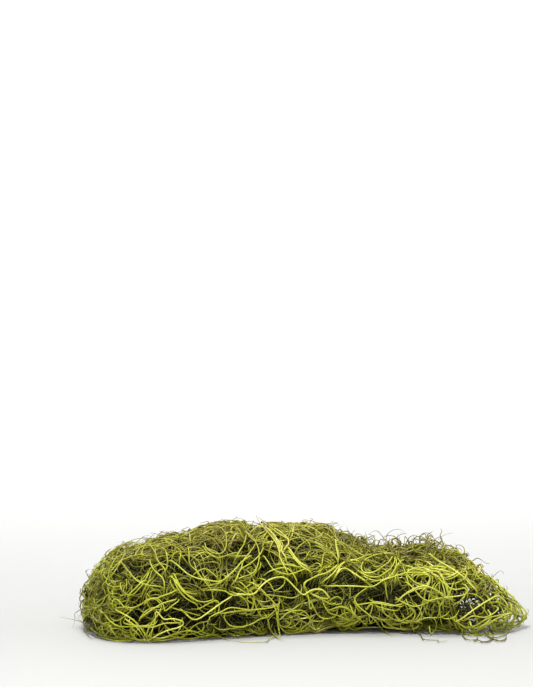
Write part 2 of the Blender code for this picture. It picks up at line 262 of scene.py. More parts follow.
def seen_at(pixel, lift, lowest):
    """The place at a pixel on the front of the form, raised off it by lift.

    Past the form's outline it is the place on the ray that comes nearest to the form, and on
    the table where the ray meets that first."""
    ray = ray_through(pixel)
    hit, normal = skin.ray_cast(eye, ray)[:2]
    on_table = eye + ray * (eye.z - lowest) / max(-ray.z, 1e-6)
    on_table.y = max(on_table.y, FOREMOST)
    if hit is not None:
        return on_table if hit.y > on_table.y else hit + normal * lift
    nearest = min(
        (eye + ray * distance * MM for distance in TRIED_DISTANCES),
        key=lambda place: (skin.find_nearest(place)[0] - place).length,
    )
    return on_table if nearest.z < lowest else nearest


SAMPLE_PIXEL = (300, 580)
print("the pixel", SAMPLE_PIXEL, "shows", [round(v / MM) for v in seen_at(SAMPLE_PIXEL, 0, 0)], "mm")

# %% [markdown]
# ## How deep a strand lies
#
# A real tangle isn't equally thick all over. There are dark pockets where the strands lie deep,
# with a few that bridge them. A soft noise and a few named pockets say how far strands sink in at
# a place. They also sink along the two clefts, which makes these show as dark lines, and along
# the loose top of the right half, where only the curls that are added last stand up.

# %% Pockets and clefts
POCKET_SIZE = 15 * MM  # of the noise
POCKET_SINK = 4 * MM
POCKET_FROM = 0.05  # the noise's value from which strands sink
CLEFT_SINK = 4.5 * MM
CLEFT_NARROW = 3.2 * MM
FRINGE = (18 * MM, 82 * MM)  # along the bunch, where its top is loose and light shows through
FRINGE_LEVELS = (28 * MM, 36 * MM)
FRINGE_SINK = 2.6 * MM
FRINGE_EASE = 12 * MM
POCKETS = [
    # pixel in the picture, radius in mm, how far strands sink in mm
    ((266, 560), 5, 4),
    ((272, 590), 5, 3),
    ((322, 588), 7, 4),
    ((348, 592), 8, 4),
    ((378, 592), 8, 4),
    ((402, 594), 7, 4),
    ((300, 583), 5, 4),
    ((440, 622), 6, 4),
    ((395, 614), 8, 3),
    ((190, 566), 6, 4),
    ((228, 566), 6, 4),
    ((160, 614), 7, 5),
    ((236, 614), 9, 5),
    ((130, 565), 5, 3),
    ((323, 620), 7, 4),
]
pockets = [(seen_at(pixel, 0, 0), radius * MM, sink * MM) for pixel, radius, sink in POCKETS]


def sink_at(place):
    """How much deeper strands lie at a place of the skin than elsewhere."""
    x, y, z = place - CENTRE
    sink = POCKET_SINK * max(0.0, noise.noise(place / POCKET_SIZE) - POCKET_FROM)
    for cleft in CLEFTS:
        sink += CLEFT_SINK * math.exp(-((from_cleft(cleft, x, y, z) / CLEFT_NARROW) ** 2))
    high = (z - FRINGE_LEVELS[0]) / (FRINGE_LEVELS[1] - FRINGE_LEVELS[0])
    inside = min(x - FRINGE[0], FRINGE[1] - x) / FRINGE_EASE
    sink += FRINGE_SINK * min(1.0, max(0.0, high)) * min(1.0, max(0.0, inside))
    for middle, radius, depth in pockets:
        sink += depth * math.exp(-((place - middle).length_squared / radius**2))
    return sink


print("in the first pocket strands sink", round(sink_at(pockets[0][0]) / MM, 1), "mm")

# %% [markdown]
# ## A strand's course
#
# A stem of this moss bends evenly for a while, kinks a little at a node and then bends another
# way. So a course is a walk: it steps over the skin, turns by its bend at each step, and takes a
# new bend at each node. The walk gives four lists: places on the skin, directions out of it,
# directions along the walk and the way gone. A strand's own depth is laid over them afterwards,
# and so is its distance to the side, which lets several strands share one walk as a lock.

# %% Walking over the skin
STEP_SAG = 0.06 * MM  # how far a straight step may cut a bend's inside
STEPS = (0.9 * MM, 2.6 * MM)
NODE_SPACING = (9 * MM, 26 * MM)
MOST_TURN = 4.2  # radians between two nodes, so that a strand winds but never coils up
BEND_EASE = 0.35  # how much of the way to its new bend a stem comes at each step
draw = random.Random(5)


def between(limits):
    """A length between two limits, where a short one is as likely as a long one."""
    return limits[0] * (limits[1] / limits[0]) ** draw.random()


def any_way():
    """A direction at random."""
    return Vector([draw.gauss(0, 1) for _ in range(3)])


def walk(start, heading, length, bends, kink):
    """Walks over the skin. Gives the places, the normals, the headings and the way gone."""
    place, normal = skin.find_nearest(start)[:2]
    gone, node_at, bend = 0.0, 0.0, 0.0
    aim = draw.choice((-1, 1)) / between(bends)
    rows = []
    while gone < length:
        if gone >= node_at:
            aim = math.copysign(1 / between(bends), aim * draw.choice((-1, -1, 1)))
            node_at = gone + min(draw.uniform(*NODE_SPACING), MOST_TURN / abs(aim))
            heading = Matrix.Rotation(draw.gauss(0, kink), 3, normal) @ heading
        heading = (heading - heading.dot(normal) * normal).normalized()
        rows.append((*place, *normal, *heading, gone))
        step = min(STEPS[1], max(STEPS[0], math.sqrt(8 * STEP_SAG / max(abs(bend), 1))))
        bend += (aim - bend) * BEND_EASE
        heading = Matrix.Rotation(bend * step, 3, normal) @ heading
        place, normal = skin.find_nearest(place + heading * step)[:2]
        gone += step
    rows = np.array(rows)
    return rows[:, 0:3], rows[:, 3:6], rows[:, 6:9], rows[:, 9]


print("a stem's nodes are up to", round(NODE_SPACING[1] / MM), "mm apart")

# %% [markdown]
# ## Laying strands
#
# Each strand that is laid is kept as a record: its points, its radius at each point, and three
# numbers that its material reads later, which are its own tint, how deep it lies, and how near
# to a dry tip it is. A rooted end dives into the tangle, and a free end thins out.

# %% A record of one strand
CORNER_ROUNDS = 2  # how often a strand's corners are rounded
LOW = 0.35 * MM  # no strand's middle comes nearer to the table
FREE_END_THINS = 0.78
FREE_END_SHARE = 0.45  # of a strand's length, over which it thins out


def eased(share):
    """A smooth step from 0 to 1."""
    share = np.clip(share, 0, 1)
    return share * share * (3 - 2 * share)


def smoothed(points):
    """A line with its corners rounded and its ends kept."""
    for _ in range(CORNER_ROUNDS):
        inner = (points[:-2] + 2 * points[1:-1] + points[2:]) / 4
        points = np.vstack([points[:1], inner, points[-1:]])
    return points


def strand(points, radii, tint, depth, dryness):
    """A record of one strand. Points lower than the table allows are raised onto it."""
    points = smoothed(np.asarray(points, float))
    points[:, 1] = np.maximum(points[:, 1], FOREMOST)
    points[:, 2] = np.maximum(points[:, 2], np.maximum(radii, LOW))
    return {"points": points, "radii": radii, "tint": tint, "depth": depth, "dry": dryness}


def tapered(radius, gone, free):
    """The radius along a strand. A free end thins out, and a rooted one stays full."""
    shares = np.ones(len(gone))
    for is_free, from_end in zip(free, (gone, gone[-1] - gone)):
        if is_free:
            left = 1 - from_end / gone[-1] / FREE_END_SHARE
            shares *= 1 - FREE_END_THINS * eased(left)
    return radius * shares


print("a free end thins out to", round(1 - FREE_END_THINS, 2), "of its strand's thickness")

# %% [markdown]
# ## Along a walk
#
# A strand follows its walk at a depth of its own and weaves as it goes, over and under and from
# side to side, with waves whose lengths are drawn at random, so that no two strands run alike.

# %% Laying one strand along a walk
ROOT_RISE = 8 * MM
ROOT_DEPTH = 8 * MM
WEAVE_LENGTHS = (14 * MM, 34 * MM)
WEAVE_DEPTH = 1.6 * MM
SIDE_WEAVE = 0.9 * MM
SIDE_WEAVE_STRETCH = 1.6
DRY_SHARE = 0.25  # of a strand's length, at its free end


def wave_along(gone, stretch):
    """A wave of random length and start along a strand, from -1 to 1."""
    length, phase = draw.uniform(*WEAVE_LENGTHS), draw.uniform(0, 2 * math.pi)
    return np.sin(2 * math.pi * gone / (stretch * length) + phase)


def lay_along(course, level, side, radius, tint, free):
    """A strand that follows a walk at a depth level, a little to its side, weaving as it goes."""
    places, normals, headings, gone = course
    depth = level + WEAVE_DEPTH * wave_along(gone, 1)
    depth += np.array([sink_at(Vector(place)) for place in places])
    for is_free, from_end in zip(free, (gone, gone[-1] - gone)):
        if not is_free:
            depth += ROOT_DEPTH * (1 - eased(from_end / ROOT_RISE))
    aside = side + SIDE_WEAVE * wave_along(gone, SIDE_WEAVE_STRETCH)
    across = np.cross(normals, headings)
    points = places - normals * depth[:, None] + across * aside[:, None]
    dry = np.zeros(len(gone))
    if free[1]:
        dry = eased(1 - (1 - gone / gone[-1]) / DRY_SHARE)
    return strand(points, tapered(radius, gone, free), tint, np.maximum(depth, 0), dry)


# %% [markdown]
# ## Leaves and hooks
#
# At its nodes a stem carries a thin leaf, which forks off at a narrow angle, curls more tightly
# than the stem and ends in a fine point. A leaf is grown freely in space: it turns about its own
# axis at each step. Real leaves lie against the bunch, so one that stands off too far is pressed
# back softly, by less the nearer it is, because a hard limit would flatten its bends.

# %% Growing one free curl
CURL_STEP = 1.1 * MM
CURL_FEWEST_STEPS = 5
CURL_TURNS = (0.5, 1.8)  # the bend's share at the root, and how much more of it there is at the tip
CURL_THINS = 0.65
CURL_THINS_OVER = 1.15  # 1 thins from the root on, and more only further out
CURL_DRIES_OVER = 1.6


def pressed_down(point, reach):
    """The point, brought softly nearer to the form, off which it stands less than the reach."""
    nearest, outward = skin.find_nearest(point)[:2]
    height = (point - nearest).dot(outward)
    if height <= 0:
        return point
    return nearest + outward * reach * (1 - math.exp(-height / reach))


def free_curl(start, heading, axis, length, bend, twist, radius, tint, reach):
    """A thin curl that starts in the tangle and ends free. The bend tightens towards its tip."""
    count = max(CURL_FEWEST_STEPS, int(length / CURL_STEP))
    points = [start.copy()]
    heading = heading.normalized()
    for i in range(count):
        turn = bend * CURL_STEP * (CURL_TURNS[0] + CURL_TURNS[1] * i / count)
        heading = Matrix.Rotation(turn, 3, axis) @ heading
        axis = (Matrix.Rotation(twist * CURL_STEP, 3, heading) @ axis).normalized()
        points.append(points[-1] + heading * CURL_STEP)
    points = np.array([pressed_down(point, reach) for point in points])
    share = np.arange(count + 1) / count
    radii = radius * (1 - CURL_THINS * eased(1 - (1 - share) * CURL_THINS_OVER))
    dry = eased(1 - (1 - share) * CURL_DRIES_OVER)
    return strand(points, radii, tint, np.zeros(count + 1), dry)


# %% [markdown]
# ## A leaf on a strand
#
# A leaf starts somewhere in the middle two thirds of its strand, points nearly along it, and is
# thinner than it. Its numbers are drawn at random within the limits that real leaves keep.

# %% Forking one leaf off
LEAF_LENGTHS = (7 * MM, 18 * MM)
LEAF_BENDS = (3 * MM, 9 * MM)
LEAF_ANGLES = (14, 38)  # degrees to its stem
LEAF_LIFTS = (-0.2, 0.04)  # how steeply it leaves the skin
LEAF_LEAN = 0.5  # how far its axis leans off the skin's normal
LEAF_TWIST = 25  # radians a metre, the spread of how fast its axis turns
LEAF_THICKNESS = (0.6, 0.85)  # of its stem's
LEAF_REACH = 2.6 * MM
LEAF_TINT_SPREAD = 0.06


def tint_near(tint, spread):
    """A tint near the given one, from 0 to 1."""
    return min(1.0, max(0.0, tint + draw.gauss(0, spread)))


def leaf_from(laid):
    """A leaf that forks off a laid strand at one of its points."""
    points = laid["points"]
    first, last = len(points) // 6, 5 * len(points) // 6
    fork = min(draw.randrange(first, max(first + 1, last)), len(points) - 2)
    heading = Vector(points[fork + 1] - points[fork]).normalized()
    place = Vector(points[fork])
    outward = skin.find_nearest(place)[1]
    side = draw.choice((-1, 1))
    axis = (outward + LEAF_LEAN * any_way().normalized()).normalized()
    angle = side * math.radians(draw.uniform(*LEAF_ANGLES))
    heading = Matrix.Rotation(angle, 3, axis) @ heading
    heading += outward * draw.uniform(*LEAF_LIFTS)
    return free_curl(
        place, heading, axis, draw.uniform(*LEAF_LENGTHS), side / draw.uniform(*LEAF_BENDS),
        draw.gauss(0, LEAF_TWIST), laid["radii"][fork] * draw.uniform(*LEAF_THICKNESS),
        tint_near(laid["tint"], LEAF_TINT_SPREAD), LEAF_REACH,
    )


print("a leaf stands off the bunch by less than", round(LEAF_REACH / MM, 1), "mm")

# %% [markdown]
# ## Three hanks and three layers
#
# The right hank has longer and straighter stems, the left one short and curly ones. Walks start
# at random places of the skin, fewer of them on the underside, which hardly shows, and in the
# thin right end, through which light shows. Strands that lie deep get fewer sides and no leaves.

# %% The hanks and the layers
HANKS = (
    # walks, their lengths and bends in mm, kinks at nodes, how much they go along the bunch,
    # the strands' radii in mm, and their tint
    {"walks": 730, "lengths": (18, 56), "bends": (2.6, 18), "kink": 0.35, "along": 1.3,
     "radii": (0.22, 0.39), "tint": 0.40},
    {"walks": 400, "lengths": (24, 70), "bends": (3.4, 28), "kink": 0.32, "along": 1.3,
     "radii": (0.23, 0.43), "tint": 0.47},
    {"walks": 350, "lengths": (30, 96), "bends": (5, 60), "kink": 0.26, "along": 2.2,
     "radii": (0.24, 0.46), "tint": 0.53},
)
LAYERS = (
    # name, the depth of its strands' walks up to which it goes, and the sides of a strand
    ("outer", 1.6 * MM, 5),
    ("under", 4.0 * MM, 4),
    ("inner", math.inf, 3),
)
LEAVES_A_STRAND = {"outer": (0, 1, 1, 2), "under": (0, 0, 1, 1), "inner": (0,)}
UNDERSIDE_SHARE = 0.35
UNDERSIDE_NORMAL = -0.3  # a face is on the underside where its normal's height is less
TIP_FROM = 68 * MM  # where the thin right end starts
TIP_SHARE = 0.40
TIP_LOW = 14 * MM
TIP_LOW_SHARE = 0.07
TIP_KEPT = 0.42  # of the walks that begin elsewhere and run into it
strands = {(hank, layer[0]): [] for hank in HANK_NAMES for layer in LAYERS}


def weighed_starts():
    """Lists the guide's faces for each hank, with how likely a walk starts there."""
    lists = [([], []) for _ in HANKS]
    for middle, normal, area in guide_faces:
        weight = area * (UNDERSIDE_SHARE if normal.z < UNDERSIDE_NORMAL else 1.0)
        if middle.x - CENTRE.x > TIP_FROM:
            weight *= TIP_LOW_SHARE if middle.z < TIP_LOW else TIP_SHARE
        faces, weights = lists[hank_at(middle)]
        faces.append((middle, normal))
        weights.append(weight)
    return lists


starts = weighed_starts()
print("walks can start on", [len(faces) for faces, _ in starts], "faces of the three hanks")

# %% [markdown]
# ## Filling the hanks
#
# Most walks carry a lock of two to five strands, which lie side by side and share a tint. More
# locks lie near the skin than deep down, where they only have to show as a dark mesh.

# %% Filling the hanks
LOCK_SIZES = (1, 1, 2, 2, 3, 3, 4, 5)
LOCK_SPACING = 1.3 * MM
SPACING_SPREAD = (0.8, 1.3)
LEVELS = (0.2 * MM, 8.5 * MM)
LEVELS_CROWD = 1.6  # more than 1 brings more locks near the skin
LEVEL_SPREAD = (-0.9, 1.2)  # mm, within a lock
LOCK_TINT_SPREAD = 0.15
STRAND_TINT_SPREAD = 0.09
FREE_STARTS = 0.18
FREE_ENDS = 0.32
SHORTEST_WALK = 6  # steps


def in_metres(lengths):
    """Lengths in mm as lengths in metres."""
    return [length * MM for length in lengths]


def lay_lock(hank, course, radii, tint):
    """The strands of one lock, and their leaves."""
    level = LEVELS[0] + (LEVELS[1] - LEVELS[0]) * draw.random() ** LEVELS_CROWD
    tint += draw.gauss(0, LOCK_TINT_SPREAD)
    count = draw.choice(LOCK_SIZES)
    for i in range(count):
        side = (i - (count - 1) / 2) * LOCK_SPACING * draw.uniform(*SPACING_SPREAD)
        depth = level + draw.uniform(*LEVEL_SPREAD) * MM
        free = (draw.random() < FREE_STARTS, draw.random() < FREE_ENDS)
        radius = between(radii)
        own = tint_near(tint, STRAND_TINT_SPREAD)
        laid = lay_along(course, max(0.0, depth), side, radius, own, free)
        layer = next(name for name, deepest, _ in LAYERS if depth < deepest)
        strands[hank, layer].append(laid)
        for _ in range(draw.choice(LEAVES_A_STRAND[layer])):
            strands[hank, layer].append(leaf_from(laid))


def fill_hank(hank, facts, faces, weights):
    """Walks over one hank, and lays a lock along each walk."""
    for middle, _ in draw.choices(faces, weights, k=facts["walks"]):
        length = draw.uniform(*facts["lengths"]) * MM
        heading = any_way()
        heading.x *= facts["along"]
        course = walk(middle, heading, length, in_metres(facts["bends"]), facts["kink"])
        in_tip = course[0][:, 0].mean() - CENTRE.x > TIP_FROM
        if len(course[0]) < SHORTEST_WALK or (in_tip and draw.random() > TIP_KEPT):
            continue
        lay_lock(hank, course, in_metres(facts["radii"]), facts["tint"])


for name, facts, (faces, weights) in zip(HANK_NAMES, HANKS, starts):
    fill_hank(name, facts, faces, weights)
for key, laid in strands.items():
    length = sum(np.linalg.norm(np.diff(one["points"], axis=0), axis=1).sum() for one in laid)
    print(*key, "has", len(laid), "strands,", round(length, 1), "m in all")

# %% [markdown]
# ## Strands that are known one by one
#
# Nearly two hundred strands stand out in the photograph: the long ones that bridge the dark
# pockets, the loops, the pale bundle over the left cleft, and the wisps on the table. Each is
# traced as a few pixels of the picture, from one end to the other. Each row has its ends
# (r for rooted, f for free), its tint, its radius and lift in mm, and its pixels.

# %% The traced strands of the left hank
LEFT_STRANDS = (
    ("rr", 0.55, 0.45, 0.5, ((121, 562), (125, 567), (130, 573), (135, 579), (140, 583), (149, 586),
     (160, 587))),
    ("rr", 0.45, 0.40, 0.3, ((122, 573), (129, 575), (137, 580), (144, 584))),
    ("rr", 0.62, 0.42, 0.4, ((103, 586), (107, 581), (114, 574), (120, 564), (126, 554))),
    ("rf", 0.10, 0.28, 0.8, ((89, 578), (87, 574), (86, 571), (90, 569))),
    ("rf", 0.30, 0.28, 0.6, ((88, 624), (82, 622), (75, 620), (70, 619), (65, 618), (60, 617))),
    ("rf", 0.20, 0.28, 0.6, ((86, 608), (78, 611), (74, 614), (75, 618), (74, 624), (72, 628))),
    ("rf", 0.15, 0.28, 0.5, ((92, 628), (81, 622), (75, 616))),
    ("rf", 0.35, 0.35, 0.5, ((84, 624), (87, 633), (92, 639))),
    ("rr", 0.70, 0.42, 0.7, ((113, 605), (114, 600), (117, 599), (121, 602), (125, 607))),
    ("rr", 0.60, 0.45, 0.6, ((117, 608), (126, 607), (134, 608), (141, 605), (149, 600), (156, 600),
     (160, 605))),
    ("rf", 0.80, 0.50, 0.7, ((117, 610), (125, 614), (133, 619), (138, 624), (143, 630), (147, 637),
     (149, 644))),
    ("rf", 0.84, 0.45, 0.5, ((126, 619), (134, 624), (140, 630), (144, 637), (146, 643))),
    ("rf", 0.80, 0.45, 0.5, ((130, 625), (137, 632), (143, 639))),
    ("rr", 0.76, 0.42, 0.5, ((131, 632), (135, 637), (140, 639), (145, 639))),
    ("rr", 0.66, 0.45, 0.6, ((100, 610), (106, 614), (109, 619), (114, 623), (120, 626), (129, 626),
     (140, 626), (152, 625))),
    ("rr", 0.60, 0.42, 0.6, ((140, 619), (144, 613), (150, 609), (156, 608))),
    ("rr", 0.58, 0.42, 0.6, ((121, 584), (122, 590), (126, 594), (132, 596), (138, 591), (143, 585))),
    ("rr", 0.62, 0.42, 0.5, ((203, 547), (208, 554), (215, 558), (221, 558), (230, 555), (238, 553))),
    ("rr", 0.70, 0.42, 0.6, ((205, 544), (206, 549), (211, 553), (218, 555), (223, 553), (226, 547),
     (226, 537), (223, 531), (218, 528), (211, 528), (206, 530))),
    ("rr", 0.60, 0.42, 0.5, ((188, 547), (189, 555), (189, 563), (192, 568), (196, 571))),
    ("rr", 0.72, 0.45, 0.6, ((172, 578), (178, 586), (183, 592), (189, 596), (195, 600))),
    ("rr", 0.66, 0.42, 0.5, ((175, 580), (182, 589), (187, 593), (195, 594))),
    ("rr", 0.68, 0.42, 0.4, ((172, 577), (177, 588), (183, 596), (190, 601), (196, 604))),
    ("rr", 0.84, 0.52, 0.9, ((187, 615), (190, 618), (196, 619), (203, 615), (213, 608), (223, 601),
     (230, 597))),
    ("rr", 0.58, 0.40, 0.5, ((176, 609), (187, 612), (198, 615))),
    ("fr", 0.78, 0.46, 0.9, ((216, 623), (211, 624), (207, 623), (207, 619), (211, 615), (221, 611),
     (230, 607), (250, 610))),
    ("rr", 0.72, 0.44, 0.7, ((245, 626), (238, 626), (230, 625), (225, 620), (223, 615), (226, 612),
     (233, 612))),
    ("rf", 0.50, 0.38, 0.5, ((203, 632), (213, 634), (223, 637), (230, 640))),
    ("rr", 0.55, 0.40, 0.7, ((150, 570), (155, 566), (162, 565), (167, 566), (167, 569), (165, 571))),
    ("rr", 0.74, 0.50, 0.9, ((171, 562), (179, 568), (187, 575), (196, 579), (208, 581), (220, 582),
     (226, 578), (235, 570), (241, 563), (250, 557))),
    ("rr", 0.62, 0.42, 0.6, ((194, 563), (196, 571), (201, 578), (208, 586), (211, 590))),
    ("rr", 0.70, 0.44, 0.8, ((211, 590), (225, 591), (230, 595), (238, 595), (250, 594))),
    ("rr", 0.66, 0.42, 0.8, ((238, 595), (245, 600), (248, 608), (245, 612))),
    ("rr", 0.88, 0.48, 0.8, ((160, 616), (163, 620), (171, 618), (180, 620), (184, 622), (180, 626),
     (172, 628), (165, 630), (157, 634), (150, 638), (146, 641))),
    ("rr", 0.66, 0.46, 0.7, ((159, 613), (153, 621), (149, 627), (146, 636))),
    ("rr", 0.74, 0.44, 0.7, ((143, 582), (136, 589), (129, 596))),
    ("rr", 0.70, 0.46, 0.8, ((149, 600), (157, 599), (163, 596), (169, 594), (175, 591))),
    ("rr", 0.64, 0.42, 0.5, ((142, 554), (146, 545), (152, 543))),
    ("rr", 0.70, 0.44, 0.6, ((150, 561), (152, 568), (157, 574), (163, 579), (164, 585))),
    ("rr", 0.64, 0.42, 0.5, ((165, 541), (169, 545), (176, 548), (181, 553), (180, 558))),
    ("rr", 0.50, 0.42, 0.5, ((111, 573), (104, 575), (99, 581), (94, 588), (90, 596))),
    ("rr", 0.60, 0.42, 0.5, ((89, 610), (99, 607), (104, 602), (106, 597))),
    ("rr", 0.74, 0.46, 0.7, ((236, 579), (240, 570), (247, 566), (254, 561), (260, 555), (263, 549))),
    ("rr", 0.66, 0.42, 0.6, ((241, 568), (243, 561), (248, 555), (252, 550), (255, 545))),
    ("rr", 0.72, 0.46, 0.8, ((277, 605), (271, 607), (264, 608), (255, 609), (243, 610), (232, 611),
     (220, 613))),
    ("rr", 0.66, 0.42, 0.6, ((220, 629), (229, 628), (241, 626), (252, 623), (260, 618), (267, 617))),
    ("rr", 0.56, 0.42, 0.5, ((92, 628), (99, 633), (107, 636), (116, 637), (125, 638))),
    ("rr", 0.48, 0.42, 0.4, ((100, 622), (107, 628), (114, 632), (123, 634), (132, 634))),
    ("rr", 0.60, 0.42, 0.5, ((104, 638), (108, 632), (114, 628), (121, 628), (126, 632))),
    ("rr", 0.52, 0.40, 0.4, ((96, 636), (104, 638), (112, 640), (121, 641), (130, 641))),
    ("rr", 0.66, 0.42, 0.6, ((110, 626), (115, 632), (118, 637), (124, 640), (131, 638))),
    ("rr", 0.44, 0.40, 0.4, ((118, 640), (122, 634), (128, 630), (134, 630), (138, 634))),
    ("rr", 0.58, 0.42, 0.5, ((98, 630), (103, 625), (109, 624), (113, 628), (111, 634))),
    ("rr", 0.58, 0.40, 0.3, ((168, 628), (176, 632), (184, 634), (193, 633), (202, 630))),
    ("rr", 0.50, 0.40, 0.2, ((176, 622), (183, 626), (190, 631), (198, 636), (206, 638))),
    ("rr", 0.64, 0.40, 0.3, ((180, 637), (187, 632), (193, 626), (200, 622), (208, 621))),
    ("rr", 0.54, 0.40, 0.3, ((172, 636), (182, 638), (192, 638), (202, 636), (212, 634))),
    ("rr", 0.54, 0.40, 0.5, ((150, 640), (158, 641), (167, 639), (175, 637), (184, 636))),
    ("rr", 0.62, 0.42, 0.5, ((146, 634), (154, 637), (163, 637), (171, 634), (178, 631))),
    ("rr", 0.62, 0.45, 0.5, ((245, 532), (252, 538), (257, 546), (259, 555), (258, 564), (255, 571),
     (252, 574), (240, 578))),
    ("rr", 0.72, 0.44, 0.5, ((238, 554), (241, 549), (244, 544), (246, 536))),
    ("rr", 0.66, 0.44, 0.5, ((246, 533), (250, 538), (254, 542), (260, 540), (266, 540))),
    ("rr", 0.70, 0.44, 0.6, ((242, 584), (248, 591), (246, 600), (252, 603))),
    ("rr", 0.66, 0.42, 0.5, ((200, 608), (207, 604), (217, 600), (219, 607), (217, 614))),
    ("rr", 0.64, 0.42, 0.5, ((111, 573), (121, 562), (130, 558), (142, 555))),
    ("rr", 0.70, 0.44, 0.6, ((136, 555), (142, 548), (152, 547), (164, 550), (167, 558))),
    ("rr", 0.66, 0.44, 0.6, ((149, 545), (155, 553), (158, 562), (164, 569))),
    ("rr", 0.62, 0.42, 0.5, ((196, 573), (205, 569), (211, 573), (217, 578))),
    ("rr", 0.70, 0.42, 0.6, ((147, 602), (155, 598), (163, 605), (164, 612), (171, 606), (177, 602))),
    ("rr", 0.74, 0.44, 0.5, ((142, 617), (149, 612), (155, 608), (164, 603), (174, 600))),
    ("rr", 0.70, 0.44, 0.6, ((125, 623), (136, 625), (152, 627), (164, 623), (180, 622))),
    ("rr", 0.72, 0.44, 0.6, ((124, 634), (133, 637), (142, 640), (149, 639), (152, 630), (155, 619))),
    ("rr", 0.66, 0.44, 0.6, ((155, 639), (167, 636), (180, 631), (192, 630), (202, 634))),
    ("rr", 0.52, 0.42, 0.5, ((86, 587), (89, 578), (96, 569), (107, 562))),
    ("rr", 0.46, 0.40, 0.4, ((82, 594), (84, 584), (89, 580))),
    ("rr", 0.58, 0.42, 0.5, ((89, 616), (94, 606), (102, 600), (111, 594))),
    ("rr", 0.60, 0.42, 0.5, ((97, 608), (94, 616), (102, 623), (110, 622))),
    ("rr", 0.70, 0.44, 0.6, ((174, 575), (180, 587), (189, 597), (202, 602), (211, 600))),
    ("rr", 0.68, 0.42, 0.5, ((239, 589), (247, 594), (253, 600), (252, 609))),
)
print(len(LEFT_STRANDS), "strands of the left hank are traced")

